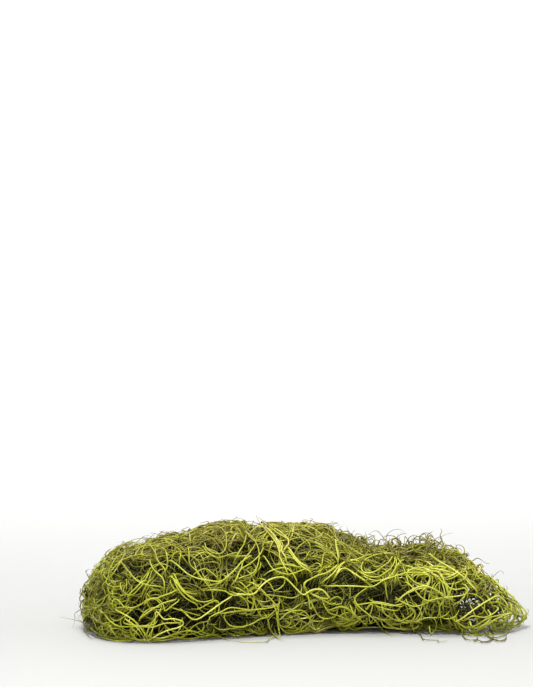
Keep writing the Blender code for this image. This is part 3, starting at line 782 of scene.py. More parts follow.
# %% The traced strands of the middle hank
MIDDLE_STRANDS = (
    ("fr", 0.92, 0.55, 1.2, ((256, 515), (259, 522), (266, 530), (274, 538), (280, 546))),
    ("fr", 0.95, 0.50, 0.9, ((258, 517), (267, 525), (276, 531), (283, 536), (288, 541), (288, 546),
     (285, 549))),
    ("fr", 0.90, 0.50, 0.6, ((257, 518), (262, 527), (270, 536), (276, 544), (279, 552))),
    ("fr", 0.96, 0.56, 1.0, ((257, 523), (263, 527), (269, 532), (274, 537), (277, 543))),
    ("rr", 0.95, 0.56, 0.8, ((258, 528), (264, 529), (270, 534), (275, 540), (279, 547))),
    ("rr", 0.92, 0.50, 0.6, ((262, 521), (268, 527), (273, 531), (280, 536), (286, 539))),
    ("rr", 0.90, 0.50, 0.6, ((277, 543), (282, 548), (281, 552), (285, 557))),
    ("rr", 0.86, 0.62, 0.8, ((288, 549), (291, 553), (295, 559), (301, 565), (306, 567))),
    ("rr", 0.80, 0.50, 0.6, ((289, 552), (293, 558), (298, 564), (304, 569), (309, 571))),
    ("rr", 0.86, 0.55, 1.2, ((240, 594), (253, 594), (258, 588), (267, 581), (276, 578), (284, 578),
     (290, 583), (297, 590), (303, 595), (310, 590), (317, 589), (323, 590), (328, 596))),
    ("rf", 0.76, 0.50, 1.0, ((253, 584), (260, 589), (267, 596), (276, 605), (278, 609), (276, 617),
     (278, 626), (280, 638))),
    ("rf", 0.66, 0.42, 0.7, ((268, 621), (269, 627), (273, 633), (278, 638), (285, 641))),
    ("rr", 0.62, 0.42, 0.8, ((313, 578), (307, 581), (303, 585), (306, 589))),
    ("rr", 0.68, 0.42, 0.7, ((278, 617), (279, 624), (286, 632), (295, 633), (304, 629), (311, 622),
     (306, 615), (297, 613))),
    ("rf", 0.50, 0.30, 0.4, ((276, 636), (269, 639), (266, 642), (260, 642), (251, 643), (240, 642),
     (230, 639))),
    ("rr", 0.74, 0.48, 1.2, ((330, 586), (343, 586), (356, 586), (368, 587), (375, 586), (383, 581),
     (394, 578), (404, 575), (416, 574), (427, 575))),
    ("rr", 0.62, 0.44, 0.9, ((330, 609), (337, 606), (346, 607), (352, 611), (354, 615), (360, 618),
     (366, 624))),
    ("rr", 0.58, 0.40, 0.7, ((354, 614), (351, 618), (344, 620), (335, 621))),
    ("rr", 0.60, 0.40, 0.8, ((330, 600), (335, 596), (340, 597), (343, 601), (339, 604), (333, 603))),
    ("rr", 0.66, 0.42, 0.9, ((367, 588), (359, 593), (354, 599), (356, 606), (359, 610))),
    ("rf", 0.80, 0.48, 1.0, ((358, 605), (366, 611), (375, 618), (383, 628), (389, 634), (393, 637))),
    ("rf", 0.20, 0.28, 0.6, ((352, 540), (349, 534), (346, 529))),
    ("rr", 0.78, 0.56, 0.8, ((335, 541), (336, 549), (338, 557))),
    ("rr", 0.64, 0.42, 0.6, ((334, 541), (344, 545), (352, 550), (359, 555), (365, 557))),
    ("rr", 0.80, 0.50, 0.9, ((337, 574), (340, 570), (346, 569), (352, 573), (357, 576), (364, 580))),
    ("rr", 0.76, 0.48, 0.8, ((325, 580), (332, 575), (338, 568), (344, 563), (351, 561), (358, 562))),
    ("rr", 0.74, 0.46, 0.8, ((304, 587), (303, 583), (309, 580), (317, 576), (325, 574), (332, 570),
     (337, 566))),
    ("rr", 0.70, 0.46, 0.8, ((326, 608), (329, 612), (337, 614), (344, 617), (350, 619))),
    ("rr", 0.66, 0.44, 0.8, ((332, 609), (337, 606), (344, 606), (351, 610), (353, 615), (350, 619),
     (345, 622), (339, 623))),
    ("rf", 0.72, 0.60, 1.0, ((307, 594), (309, 602), (309, 608), (311, 609), (312, 603), (310, 597))),
    ("rr", 0.68, 0.44, 0.8, ((313, 595), (320, 598), (327, 602), (332, 604))),
    ("rf", 0.78, 0.48, 0.9, ((276, 612), (277, 620), (278, 629), (281, 636))),
    ("rr", 0.62, 0.42, 0.7, ((267, 617), (271, 613), (277, 608), (279, 603))),
    ("rr", 0.70, 0.44, 0.8, ((354, 613), (360, 618), (365, 623))),
    ("rr", 0.74, 0.46, 0.9, ((367, 608), (369, 604), (373, 603), (372, 609), (369, 616), (371, 622))),
    ("rr", 0.72, 0.44, 0.9, ((358, 604), (364, 603), (370, 602), (381, 603), (390, 605), (400, 604))),
    ("rr", 0.72, 0.44, 0.6, ((271, 546), (273, 542), (278, 541), (283, 546), (280, 552), (279, 557),
     (283, 565), (287, 573))),
    ("rr", 0.68, 0.44, 0.5, ((264, 557), (268, 563), (273, 570), (280, 573), (288, 575), (298, 572),
     (306, 569))),
    ("rr", 0.72, 0.44, 0.6, ((271, 571), (279, 569), (285, 568), (292, 573), (296, 580))),
    ("rr", 0.66, 0.42, 0.5, ((291, 540), (298, 539), (303, 538), (309, 544))),
    ("rr", 0.70, 0.42, 0.5, ((298, 548), (303, 544), (310, 540), (319, 538), (323, 533))),
    ("rr", 0.66, 0.44, 0.5, ((322, 564), (323, 556), (326, 553), (332, 554), (337, 560))),
    ("rr", 0.76, 0.46, 0.8, ((312, 591), (319, 588), (325, 592), (329, 598), (322, 598), (315, 595))),
    ("rr", 0.72, 0.44, 0.6, ((308, 598), (312, 604), (315, 610), (319, 616), (326, 618), (334, 616))),
    ("rr", 0.70, 0.44, 0.6, ((280, 619), (287, 612), (295, 610), (303, 610), (309, 616), (311, 620),
     (322, 620))),
    ("rr", 0.66, 0.42, 0.5, ((298, 632), (303, 626), (309, 622))),
    ("rr", 0.68, 0.42, 0.6, ((253, 595), (254, 603), (257, 610), (261, 616))),
    ("rr", 0.56, 0.42, 0.5, ((269, 595), (280, 596), (292, 598), (299, 595), (301, 591))),
    ("rr", 0.66, 0.42, 0.6, ((264, 580), (271, 585), (273, 591), (280, 588), (285, 583), (284, 578))),
)
print(len(MIDDLE_STRANDS), "strands of the middle hank are traced")

# %% The traced strands of the right hank
RIGHT_STRANDS = (
    ("rf", 0.12, 0.34, 0.6, ((396, 554), (390, 546), (386, 539), (387, 535), (391, 531), (397, 529),
     (402, 530), (405, 532), (403, 534), (400, 533))),
    ("rf", 0.15, 0.30, 0.5, ((399, 545), (399, 536), (397, 533))),
    ("rf", 0.30, 0.34, 0.6, ((430, 543), (423, 540), (419, 540), (420, 536), (424, 533), (427, 534),
     (425, 538), (421, 541), (411, 539), (407, 540))),
    ("rf", 0.20, 0.30, 0.5, ((405, 550), (405, 536), (408, 541), (413, 543))),
    ("rf", 0.25, 0.28, 0.5, ((371, 545), (366, 537), (365, 531))),
    ("rf", 0.25, 0.28, 0.5, ((386, 543), (382, 536), (377, 530), (372, 532), (367, 536))),
    ("rr", 0.78, 0.46, 0.8, ((393, 555), (383, 555), (373, 557), (365, 561), (361, 567), (362, 572),
     (366, 574), (374, 573), (382, 568), (389, 563), (392, 558))),
    ("rr", 0.72, 0.44, 0.7, ((395, 558), (394, 564), (390, 570), (383, 575), (377, 578), (369, 577),
     (364, 575), (360, 572))),
    ("rr", 0.74, 0.44, 0.6, ((396, 560), (396, 567), (393, 573), (387, 579), (378, 581), (370, 580),
     (365, 577))),
    ("rr", 0.62, 0.44, 0.7, ((397, 559), (403, 568), (405, 573), (408, 582))),
    ("rr", 0.62, 0.42, 0.8, ((405, 573), (410, 579), (417, 584), (427, 586))),
    ("rr", 0.74, 0.46, 1.0, ((408, 584), (414, 589), (420, 596), (426, 600), (432, 601))),
    ("rr", 0.82, 0.48, 1.0, ((399, 600), (402, 596), (408, 592), (416, 588), (425, 586), (432, 588))),
    ("rr", 0.80, 0.46, 0.8, ((400, 598), (404, 595), (410, 592), (418, 589), (426, 588))),
    ("rr", 0.70, 0.44, 0.9, ((401, 601), (408, 604), (414, 606), (423, 604), (429, 601))),
    ("rr", 0.70, 0.44, 0.8, ((373, 601), (382, 602), (390, 604), (400, 606))),
    ("rr", 0.62, 0.42, 0.7, ((376, 605), (385, 608), (396, 610))),
    ("rr", 0.56, 0.40, 0.7, ((385, 584), (386, 591), (387, 596))),
    ("rf", 0.66, 0.40, 0.6, ((353, 630), (358, 627), (366, 626), (378, 626), (390, 626))),
    ("rr", 0.88, 0.44, 0.6, ((385, 626), (396, 627), (408, 628), (416, 627))),
    ("rf", 0.30, 0.34, 0.6, ((412, 629), (420, 634), (423, 639), (429, 640), (437, 640), (439, 641),
     (436, 642), (441, 642), (448, 640))),
    ("rf", 0.20, 0.34, 0.6, ((427, 548), (432, 543), (437, 538), (443, 536), (449, 533), (453, 533))),
    ("rr", 0.64, 0.44, 0.5, ((445, 546), (453, 547), (462, 554), (467, 561), (471, 567), (476, 573))),
    ("rr", 0.60, 0.44, 0.4, ((448, 551), (457, 552), (464, 560), (470, 568), (476, 576), (485, 584))),
    ("rr", 0.84, 0.50, 0.9, ((429, 555), (437, 562), (446, 567), (457, 574), (465, 580), (470, 586),
     (475, 590))),
    ("rf", 0.20, 0.46, 0.6, ((486, 588), (491, 579), (497, 573), (501, 570), (504, 574))),
    ("rr", 0.50, 0.40, 0.6, ((499, 579), (498, 584), (500, 591), (504, 596))),
    ("rf", 0.50, 0.52, 1.0, ((500, 594), (510, 601), (515, 603), (522, 606))),
    ("rf", 0.42, 0.48, 1.0, ((502, 599), (510, 603), (516, 607), (521, 608))),
    ("rf", 0.50, 0.48, 1.0, ((498, 603), (508, 610), (513, 614), (520, 615))),
    ("rr", 0.86, 0.52, 1.0, ((457, 620), (464, 616), (472, 610), (481, 604), (490, 599), (496, 597),
     (501, 600), (506, 606))),
    ("rr", 0.88, 0.70, 0.8, ((474, 627), (478, 626), (485, 623), (490, 617))),
    ("rr", 0.70, 0.44, 0.9, ((420, 576), (425, 575), (430, 577), (430, 581), (427, 587), (422, 591))),
    ("rr", 0.68, 0.44, 0.8, ((420, 587), (428, 587), (438, 591), (445, 596), (450, 599))),
    ("rr", 0.74, 0.46, 0.9, ((428, 601), (438, 598), (447, 597), (457, 596), (466, 594), (468, 590),
     (465, 586))),
    ("rr", 0.62, 0.42, 0.8, ((447, 587), (449, 594), (451, 599))),
    ("rr", 0.62, 0.42, 0.7, ((437, 600), (440, 606), (439, 613), (436, 618))),
    ("rr", 0.66, 0.42, 0.8, ((425, 617), (432, 616), (436, 620), (436, 627), (431, 634))),
    ("rr", 0.58, 0.40, 0.7, ((441, 620), (443, 625), (449, 630), (457, 631), (463, 631))),
    ("rf", 0.16, 0.52, 0.6, ((486, 622), (491, 630), (493, 637), (489, 641), (483, 642), (478, 640),
     (473, 641), (481, 643), (489, 643))),
    ("rf", 0.22, 0.48, 0.5, ((488, 636), (493, 639), (500, 641), (505, 639), (506, 635), (503, 633))),
    ("rr", 0.45, 0.38, 0.6, ((492, 625), (500, 622), (508, 623), (513, 625), (510, 629), (501, 630),
     (492, 629))),
    ("rr", 0.40, 0.36, 0.5, ((462, 634), (466, 639), (471, 640), (477, 639), (477, 634))),
    ("rr", 0.50, 0.42, 0.6, ((459, 631), (467, 634), (474, 635), (482, 634), (492, 631))),
    ("rf", 0.55, 0.42, 0.7, ((457, 622), (462, 628), (471, 632), (480, 634), (488, 638))),
    ("rr", 0.66, 0.46, 0.7, ((506, 599), (510, 607), (510, 615), (506, 619), (501, 621))),
    ("rr", 0.58, 0.42, 0.8, ((482, 607), (487, 615), (491, 622), (496, 629))),
    ("rr", 0.60, 0.42, 0.8, ((473, 611), (477, 620), (478, 627), (476, 634))),
    ("rr", 0.82, 0.56, 0.9, ((510, 613), (502, 615), (490, 621), (481, 627), (471, 630))),
    ("rr", 0.52, 0.42, 0.7, ((512, 612), (513, 620), (509, 628), (503, 635), (495, 638))),
    ("rr", 0.48, 0.40, 0.7, ((514, 606), (515, 614), (512, 622), (505, 629), (498, 633))),
    ("rr", 0.70, 0.44, 0.6, ((440, 580), (448, 587), (456, 590), (465, 588), (467, 594))),
    ("rr", 0.72, 0.44, 0.6, ((415, 576), (426, 573), (437, 572), (442, 576))),
    ("rr", 0.70, 0.44, 0.6, ((385, 613), (393, 618), (401, 620), (410, 615), (414, 611), (410, 607))),
    ("rr", 0.66, 0.42, 0.6, ((408, 621), (418, 620), (426, 617), (437, 617), (445, 615))),
    ("rr", 0.64, 0.42, 0.6, ((412, 626), (410, 622), (415, 620), (422, 622), (420, 630), (414, 632))),
    ("rr", 0.74, 0.44, 0.8, ((464, 620), (472, 615), (483, 617), (491, 614), (497, 609))),
    ("rr", 0.74, 0.46, 0.9, ((459, 622), (467, 626), (476, 624), (486, 618), (497, 615), (509, 613))),
    ("rr", 0.66, 0.42, 0.7, ((475, 595), (480, 598), (484, 603), (483, 611))),
    ("rr", 0.52, 0.42, 0.6, ((480, 576), (487, 581), (494, 588), (501, 595))),
    ("rr", 0.30, 0.40, 0.5, ((476, 587), (483, 583), (490, 584), (488, 591))),
    ("rr", 0.70, 0.42, 0.7, ((446, 598), (440, 605), (440, 614), (445, 618), (453, 617))),
    ("rr", 0.66, 0.42, 0.6, ((453, 584), (450, 592), (446, 598))),
    ("rr", 0.76, 0.46, 0.8, ((338, 571), (343, 564), (351, 562), (359, 560), (365, 557), (374, 556),
     (388, 555))),
)
print(len(RIGHT_STRANDS), "strands of the right hank are traced")

# %% [markdown]
# ## From pixels to a strand
#
# A smooth curve runs through the traced places. Where the strand's ends are rooted, the curve
# runs on a little and dives into the tangle, so that no cut end shows.

# %% Laying the traced strands
TRACED = {"left": LEFT_STRANDS, "middle": MIDDLE_STRANDS, "right": RIGHT_STRANDS}
TRACED_STEP = 1.1 * MM
TRACED_THIN = 0.70  # all traced radii are thinned by this
TRACED_SHADE = 0.10  # all traced tints are darkened by this
TRACED_LOWEST = 0.6 * MM
DIVE_ONWARD = 2.5 * MM
DIVE_DEPTH = 5.0 * MM


def curve_through(places, step):
    """Points at even steps along a smooth curve through the places."""
    places = [2 * places[0] - places[1], *places, 2 * places[-1] - places[-2]]
    points = []
    for a, b, c, d in zip(places, places[1:], places[2:], places[3:]):
        count = max(1, round((c - b).length / step))
        for k in range(count):
            t = k / count
            points.append((
                2 * b + (c - a) * t + (2 * a - 5 * b + 4 * c - d) * t * t
                + (3 * b - 3 * c + d - a) * t * t * t
            ) / 2)
    return points + [places[-2]]


def dived(places):
    """The places, run on past their last one and down into the tangle."""
    end, before = places[-1], places[-2]
    outward = skin.find_nearest(end)[1]
    onward = (end - before).normalized()
    return places + [end + onward * DIVE_ONWARD * k - outward * DIVE_DEPTH * k * k for k in (0.5, 1.0)]


def traced_strand(ends, tint, radius, lift, pixels):
    """A strand through the places that its pixels show."""
    places = [seen_at(pixel, lift * MM, TRACED_LOWEST) for pixel in pixels]
    if ends[1] == "r":
        places = dived(places)
    if ends[0] == "r":
        places = dived(places[::-1])[::-1]
    points = np.array(curve_through(places, TRACED_STEP))
    gone = np.concatenate([[0], np.cumsum(np.linalg.norm(np.diff(points, axis=0), axis=1))])
    radii = tapered(radius * TRACED_THIN * MM, gone, (ends[0] == "f", ends[1] == "f"))
    none = np.zeros(len(points))
    return strand(points, radii, tint - TRACED_SHADE, none, none)


for name, rows in TRACED.items():
    strands[name, "traced"] = [traced_strand(*row) for row in rows]
print(sum(len(rows) for rows in TRACED.values()), "strands are traced")

# %% [markdown]
# ## Curls that stand off the top
#
# Against the light the top of the right half is a fringe of loose curls, and elsewhere only a few
# stand up. They are grown as the leaves are, but start at random places of the top, a little
# under the skin, and turn back to it.

# %% Fluff on the top
FLUFF = (
    # from and to along the bunch in mm, number of curls, how steeply they leave it, tint, and
    # how far they stand off it in mm
    (-100, 14, 36, 0.03, 0.35, 2.5),
    (14, 80, 320, 0.60, 0.26, 8.0),
    (80, 97, 30, 0.35, 0.45, 3.2),
)
FLUFF_ROOT = 3.5 * MM  # how deep under the skin a curl starts
FLUFF_NORMAL = 0.55  # a face is on the top where its normal's height is more
FLUFF_LENGTHS = (7 * MM, 20 * MM)
FLUFF_BENDS = (2.2 * MM, 6.5 * MM)
FLUFF_RADII = (0.30 * MM, 0.42 * MM)
FLUFF_TWIST = 30  # radians a metre, as for leaves
FLUFF_TINT_SPREAD = 0.12
FLUFF_LEANS = (0.7, 0.6)  # how far its axis leans along the curl, and in any way


def fluff_curl(middle, normal, lift, tint, reach):
    """One thin curl that leaves the top of the bunch and turns back to it."""
    aside = any_way()
    aside = (aside - aside.dot(normal) * normal).normalized()
    heading = aside + normal * draw.uniform(0.0, 2 * lift)
    axis = (heading.cross(normal) + FLUFF_LEANS[0] * aside.cross(heading)).normalized()
    axis = (axis + FLUFF_LEANS[1] * any_way()).normalized()
    return free_curl(
        middle - normal * FLUFF_ROOT, heading, axis, draw.uniform(*FLUFF_LENGTHS),
        draw.choice((-1, 1)) / between(FLUFF_BENDS), draw.gauss(0, FLUFF_TWIST),
        draw.uniform(*FLUFF_RADII), tint_near(tint, FLUFF_TINT_SPREAD), reach,
    )


for start, end, count, lift, tint, reach in FLUFF:
    faces = [
        (middle, normal) for middle, normal, _ in guide_faces
        if start * MM < middle.x - CENTRE.x < end * MM and normal.z > FLUFF_NORMAL
    ]
    for middle, normal in draw.sample(faces, count):
        curl = fluff_curl(middle, normal, lift, tint, reach * MM)
        strands[HANK_NAMES[hank_at(middle)], "traced"].append(curl)
print(sum(row[2] for row in FLUFF), "curls stand off the top")

# %% [markdown]
# ## Strands become meshes
#
# One curve object holds all strands of a piece, each as a spline with its own radii. A small ring
# swept along them gives them their thickness, and the curve is then converted to a mesh. The mesh
# keeps the order of the splines, so each strand's numbers can be written onto its points.

# %% The ring and the closed ends
CURVE_LOW = 0.2 * MM  # the added end points come no nearer to the table
rings = {}


def ring_of(sides):
    """The ring that is swept along the strands."""
    if sides not in rings:
        curve = bpy.data.curves.new("ring", "CURVE")
        line = curve.splines.new("POLY")
        line.points.add(sides - 1)
        for k, point in enumerate(line.points):
            turn = -2 * math.pi * k / sides
            point.co = (math.cos(turn), math.sin(turn), 0, 1)
        line.use_cyclic_u = True
        rings[sides] = added("ring", curve)
    return rings[sides]


def closed_ends(laid):
    """The strand's points and radii, with a point of no radius added at both ends."""
    points, radii = laid["points"], laid["radii"]
    before = points[0] - (points[1] - points[0]) / 4
    after = points[-1] + (points[-1] - points[-2]) / 4
    points = np.vstack([before, points, after])
    points[:, 2] = np.maximum(points[:, 2], CURVE_LOW)
    return points, np.concatenate([[0], radii, [0]])


def repeated_at_ends(values):
    """A list of numbers with its first and last repeated."""
    return np.concatenate([values[:1], values, values[-1:]])


# %% [markdown]
# ## One piece from many strands
#
# The ends of the swept strands are rings of no size. Edit mode merges each into one point, which
# closes the strand, and then turns the faces outwards.

# %% Building a piece
MERGED = 0.002 * MM  # points that are nearer to each other than this are one


def curve_from(name, laid_strands, sides):
    """A curve object with one spline for each strand, and the strands' numbers for its points."""
    curve = bpy.data.curves.new(name, "CURVE")
    curve.dimensions = "3D"
    curve.bevel_mode = "OBJECT"
    curve.bevel_object = ring_of(sides)
    columns = {"tint": [], "depth": [], "dry": []}
    for laid in laid_strands:
        points, radii = closed_ends(laid)
        spline = curve.splines.new("POLY")
        spline.points.add(len(points) - 1)
        spline.points.foreach_set("co", np.hstack([points, np.ones((len(points), 1))]).ravel())
        spline.points.foreach_set("radius", radii)
        columns["tint"].append(np.full(len(points), laid["tint"]))
        columns["depth"].append(repeated_at_ends(laid["depth"]) / MM)
        columns["dry"].append(repeated_at_ends(laid["dry"]))
    return added(name, curve), columns


def piece_from(name, laid_strands, sides, material):
    """One mesh object that holds all the strands, with their numbers as attributes."""
    piece, columns = curve_from(name, laid_strands, sides)
    bpy.ops.object.convert(target="MESH")
    mesh = piece.data
    for column, parts in columns.items():
        values = np.repeat(np.concatenate(parts), sides).astype(np.float32)
        if len(values) != len(mesh.vertices):
            raise ValueError("the mesh doesn't follow the splines: " + name)
        mesh.attributes.new(column, "FLOAT", "POINT").data.foreach_set("value", values)
    bpy.ops.object.mode_set(mode="EDIT")
    bpy.ops.mesh.select_all(action="SELECT")
    bpy.ops.mesh.remove_doubles(threshold=MERGED)
    bpy.ops.mesh.normals_make_consistent(inside=False)
    bpy.ops.object.mode_set(mode="OBJECT")
    bpy.ops.object.shade_smooth()
    mesh.materials.clear()
    mesh.materials.append(material)
    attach(piece, "root")
    triangles = sum(len(face.vertices) - 2 for face in mesh.polygons)
    print(name, "has", len(laid_strands), "strands and", triangles, "triangles")
    return piece


# %% [markdown]
# ## Shader maths in Python
#
# A class wraps a socket, so that an expression on it adds the Math nodes. Any other node comes
# from one method that takes its type, its settings and its inputs.

# %% The socket wrapper
def feed(inputs, values):
    """Gives inputs their values: a wire is linked, and a number or a colour is set."""
    for name, value in values.items():
        if isinstance(value, Wire):
            value.tree.links.new(value.socket, inputs[name])
        else:
            inputs[name].default_value = value


class Wire:
    """A socket of a material, which Python's operators work on."""

    def __init__(self, tree, socket=None):
        self.tree = tree
        self.socket = socket

    def node(self, kind, settings=None, output=None, **inputs):
        """Adds a node and gives one output, which is the first unless another is named."""
        made = self.tree.nodes.new("ShaderNode" + kind)
        for name, value in (settings or {}).items():
            setattr(made, name, value)
        numbered = {int(name[1:]) if name[1:].isdigit() else name: inputs[name] for name in inputs}
        feed(made.inputs, numbered)
        first = next(socket for socket in made.outputs if socket.enabled)
        return Wire(self.tree, made.outputs[output] if output else first)

    def maths(self, operation, first, second):
        return self.node("Math", {"operation": operation}, _0=first, _1=second)

    def __add__(self, other):
        return self.maths("ADD", self, other)

    def __radd__(self, other):
        return self.maths("ADD", other, self)

    def __sub__(self, other):
        return self.maths("SUBTRACT", self, other)

    def __rsub__(self, other):
        return self.maths("SUBTRACT", other, self)

    def __mul__(self, other):
        return self.maths("MULTIPLY", self, other)

    def __rmul__(self, other):
        return self.maths("MULTIPLY", other, self)

    def part(self, axis):
        """One of the three numbers of a vector."""
        return self.node("SeparateXYZ", output=axis, Vector=self)

    def attribute(self, name):
        """A number that the mesh carries at its points."""
        return self.node("Attribute", {"attribute_name": name}, output="Fac")

    def clamped(self, low, high):
        """The value, spread from this range over 0 to 1 and held there."""
        return self.node("MapRange", _0=self, _1=low, _2=high, _3=0.0, _4=1.0)

    def ramp(self, stops):
        """A colour that runs through the stops, which are places and colours."""
        made = self.node("ValToRGB", _0=self)
        elements = made.socket.node.color_ramp.elements
        while len(elements) < len(stops):
            elements.new(0.5)
        for element, (place, tone) in zip(elements, stops):
            element.position = place
            element.color = tone
        return made

    def mixed(self, other, share):
        """This colour, mixed with another by a share."""
        return self.node("Mix", {"data_type": "RGBA"}, _0=share, _6=self, _7=other)


def new_material(name):
    """A material, its shader, and a wire that carries the place on the object."""
    material = bpy.data.materials.new(name)
    material.use_nodes = True
    tree = material.node_tree
    return material, tree.nodes["Principled BSDF"], Wire(tree).node("TexCoord", output="Object")


def colour(red, green, blue):
    """An sRGB colour from 0 to 255, as light."""
    channels = [c / 255 for c in (red, green, blue)]
    return (*[((c + 0.055) / 1.055) ** 2.4 for c in channels], 1.0)


# %% [markdown]
# ## The moss's finish
#
# Preserved moss is dyed and then dries, so strands differ: from olive through yellow green to
# straw, with browned tips. The strand's own tint picks the colour, a soft noise shifts it along
# the strand, and what lies deep is painted darker, as painted shade where light reaches it less.
# The top is painted darker and a little golden, partly a golden tint and partly painted shade. The
# skin of a stem is finely grained and slightly waxy, so a fine noise feeds the bump and the roughness.

# %% The moss material
MOSS_COLOURS = [
    (0.00, colour(74, 58, 16)),
    (0.16, colour(94, 92, 12)),
    (0.42, colour(130, 133, 14)),
    (0.66, colour(162, 165, 50)),
    (0.86, colour(190, 188, 92)),
    (1.00, colour(202, 184, 120)),
]
BLOTCH_SCALE = 110.0
BLOTCH_SHIFT = 0.42
GRAIN_SCALE = 900.0
GRAIN_SHIFT = 0.18
DRY_COLOUR = colour(120, 100, 50)
DRY_STRENGTH = 0.45
# partly painted shade: the top is painted darker and golden, partly a tint and partly shade
TOP_TINT_AND_SHADE_COLOUR = colour(108, 92, 18)
TOP_TINT_AND_SHADE_LEVELS = (0.028, 0.045)  # over these heights it turns golden, in metres
TOP_TINT_AND_SHADE_STRENGTH = 0.42
# painted shade: strands that lie deep are painted darker
DEPTH_SHADE_COLOUR = colour(30, 29, 3)
DEPTH_SHADE_LEVELS = (0.5, 4.2)  # over these depths it turns dark, in mm
DEPTH_SHADE_STRENGTH = 0.95
SMOOTHEST = 0.30
ROUGHER_BY = 0.26
GRAIN_BUMP = 0.35
GRAIN_HEIGHT = 0.0002
SHINE = 0.55
SHINE_COLOUR = (0.95, 1.0, 0.55, 1)


def moss_material():
    """The dyed strands' colour with painted shade, which reads each strand's own numbers."""
    material, shader, place = new_material("moss")
    blotch = place.node("TexNoise", Vector=place, Scale=BLOTCH_SCALE, Detail=2.0)
    grain = place.node("TexNoise", Vector=place, Scale=GRAIN_SCALE, Detail=2.0)
    tint = place.attribute("tint") + (blotch - 0.5) * BLOTCH_SHIFT + (grain - 0.5) * GRAIN_SHIFT
    # partly painted shade: darker and more golden towards the top
    top = place.part("Z").clamped(*TOP_TINT_AND_SHADE_LEVELS) * TOP_TINT_AND_SHADE_STRENGTH
    # painted shade: the deeper a strand lies, the darker it is painted
    depth_shade = place.attribute("depth").clamped(*DEPTH_SHADE_LEVELS) * DEPTH_SHADE_STRENGTH
    base = tint.ramp(MOSS_COLOURS).mixed(DRY_COLOUR, place.attribute("dry") * DRY_STRENGTH)
    base = base.mixed(TOP_TINT_AND_SHADE_COLOUR, top).mixed(DEPTH_SHADE_COLOUR, depth_shade)
    feed(shader.inputs, {
        "Base Color": base,
        "Roughness": SMOOTHEST + grain * ROUGHER_BY,
        "Normal": place.node("Bump", Strength=GRAIN_BUMP, Distance=GRAIN_HEIGHT, Height=grain),
        "Specular IOR Level": SHINE,
        "Specular Tint": SHINE_COLOUR,
    })
    return material


moss = moss_material()
print("the moss material has", len(moss.node_tree.nodes), "nodes")

# %% [markdown]
# ## The dark inside
#
# Deep in the real bunch the strands are matted so densely that they shade each other and no light
# comes out. One closed mat in all three hanks, set well in and roughened, is painted nearly black
# behind the strands as painted shade. The thin right end has none, because light shows through it.

# %% The mat
MAT_RINGS = 90
MAT_SIDES = 72
MAT_INSET = 9.5 * MM
MAT_RIGHT_INSET = 44 * MM
MAT_ROUGHNESS = 2.2 * MM
MAT_LUMPS = ((6 * MM, 1.0), (2.5 * MM, 0.6))  # the sizes of its lumps and their shares
MAT_SINK = 0.6  # of what strands sink in
MAT_LOW = 0.4 * MM
MAT_FIBRES = 520.0
# painted shade: the mat's near-black colours stand for the shade deep in the bunch
MAT_PAINTED_SHADE_COLOURS = [(0.35, colour(10, 10, 4)), (0.62, colour(30, 30, 9)), (0.8, colour(58, 56, 20))]


def painted_shade_mat_material():
    """A dull, nearly black colour as painted shade, with paler fibres."""
    material, shader, place = new_material("painted_shade_inside")
    fibres = place.node("TexNoise", Vector=place, Scale=MAT_FIBRES, Detail=4.0, Distortion=1.5)
    feed(shader.inputs, {
        "Base Color": fibres.ramp(MAT_PAINTED_SHADE_COLOURS),
        "Normal": place.node("Bump", Strength=0.8, Distance=0.001, Height=fibres),
        "Roughness": 0.9,
        "Specular IOR Level": 0.1,
    })
    return material


def painted_shade_inside():
    """One mat for the whole bunch as painted shade, pinched along the clefts and roughened by noise.
    """
    made = form_mesh("painted_shade_inside", form_points(MAT_RINGS, MAT_SIDES, MAT_INSET, MAT_RIGHT_INSET))
    mesh = made.data
    coords = np.zeros(len(mesh.vertices) * 3)
    mesh.vertices.foreach_get("co", coords)
    coords = coords.reshape(-1, 3)
    normals = np.array([vertex.normal[:] for vertex in mesh.vertices])
    for i, place in enumerate(coords):
        rough = sum(share * noise.noise(Vector(place) / size) for size, share in MAT_LUMPS)
        coords[i] += normals[i] * (rough * MAT_ROUGHNESS - sink_at(Vector(place)) * MAT_SINK)
    coords[:, 2] = np.maximum(coords[:, 2], MAT_LOW)
    mesh.vertices.foreach_set("co", coords.ravel())
    mesh.update()
    bpy.ops.object.shade_smooth()
    mesh.materials.append(painted_shade_mat_material())
    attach(made, "root")
    return made


print("the mat has", len(painted_shade_inside().data.polygons), "faces")

# %% [markdown]
# ## The hanks
#
# Each hank is four pieces: its three layers and the strands that stand out. The outer layer takes
# the place of the hank's solid.

# %% The hanks
SIDES = {layer: sides for layer, _, sides in LAYERS}
SIDES["traced"] = 6
for (hank, layer), laid in strands.items():
    made = piece_from(f"hank_{hank}_{layer}", laid, SIDES[layer], moss)
    if layer == "outer":
        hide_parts(f"hank_{hank}")

# %% [markdown]
# ## The table
#
# The bunch lies on a white table that runs up into a white wall behind it without an edge, as in
# a studio. Near the bunch it is painted darker, as painted shade round the bunch, so that its shadow
# shows. Far to the front and to the sides it glows faintly, in the place of more lamps.

# %% Table and wall
SWEEP_WIDTH = 12.0
SWEEP_FRONT = -6.0
SWEEP_LEVEL = -0.2 * MM  # just under the bunch
SWEEP_BEND_AT = 0.9
SWEEP_BEND = 0.8
SWEEP_BEND_STEPS = 24
SWEEP_TOP = 2.4
# painted shade: the table's colour is darker near the bunch
SWEEP_NEAR_PAINTED_SHADE = (0.375, 0.374, 0.364, 1)
SWEEP_FAR = (0.80, 0.80, 0.80, 1)
SWEEP_BRIGHTENS = (0.0, 1.2)  # over these distances to the back it turns paler
SWEEP_FRONT_BRIGHTENS = (-0.5, -1.8)
SWEEP_GLOWS_FROM = 0.7
SWEEP_GLOWS_TO = 2.0
SWEEP_GLOW = (0.55, 0.55, 0.545, 1)
BLACK = (0, 0, 0, 1)


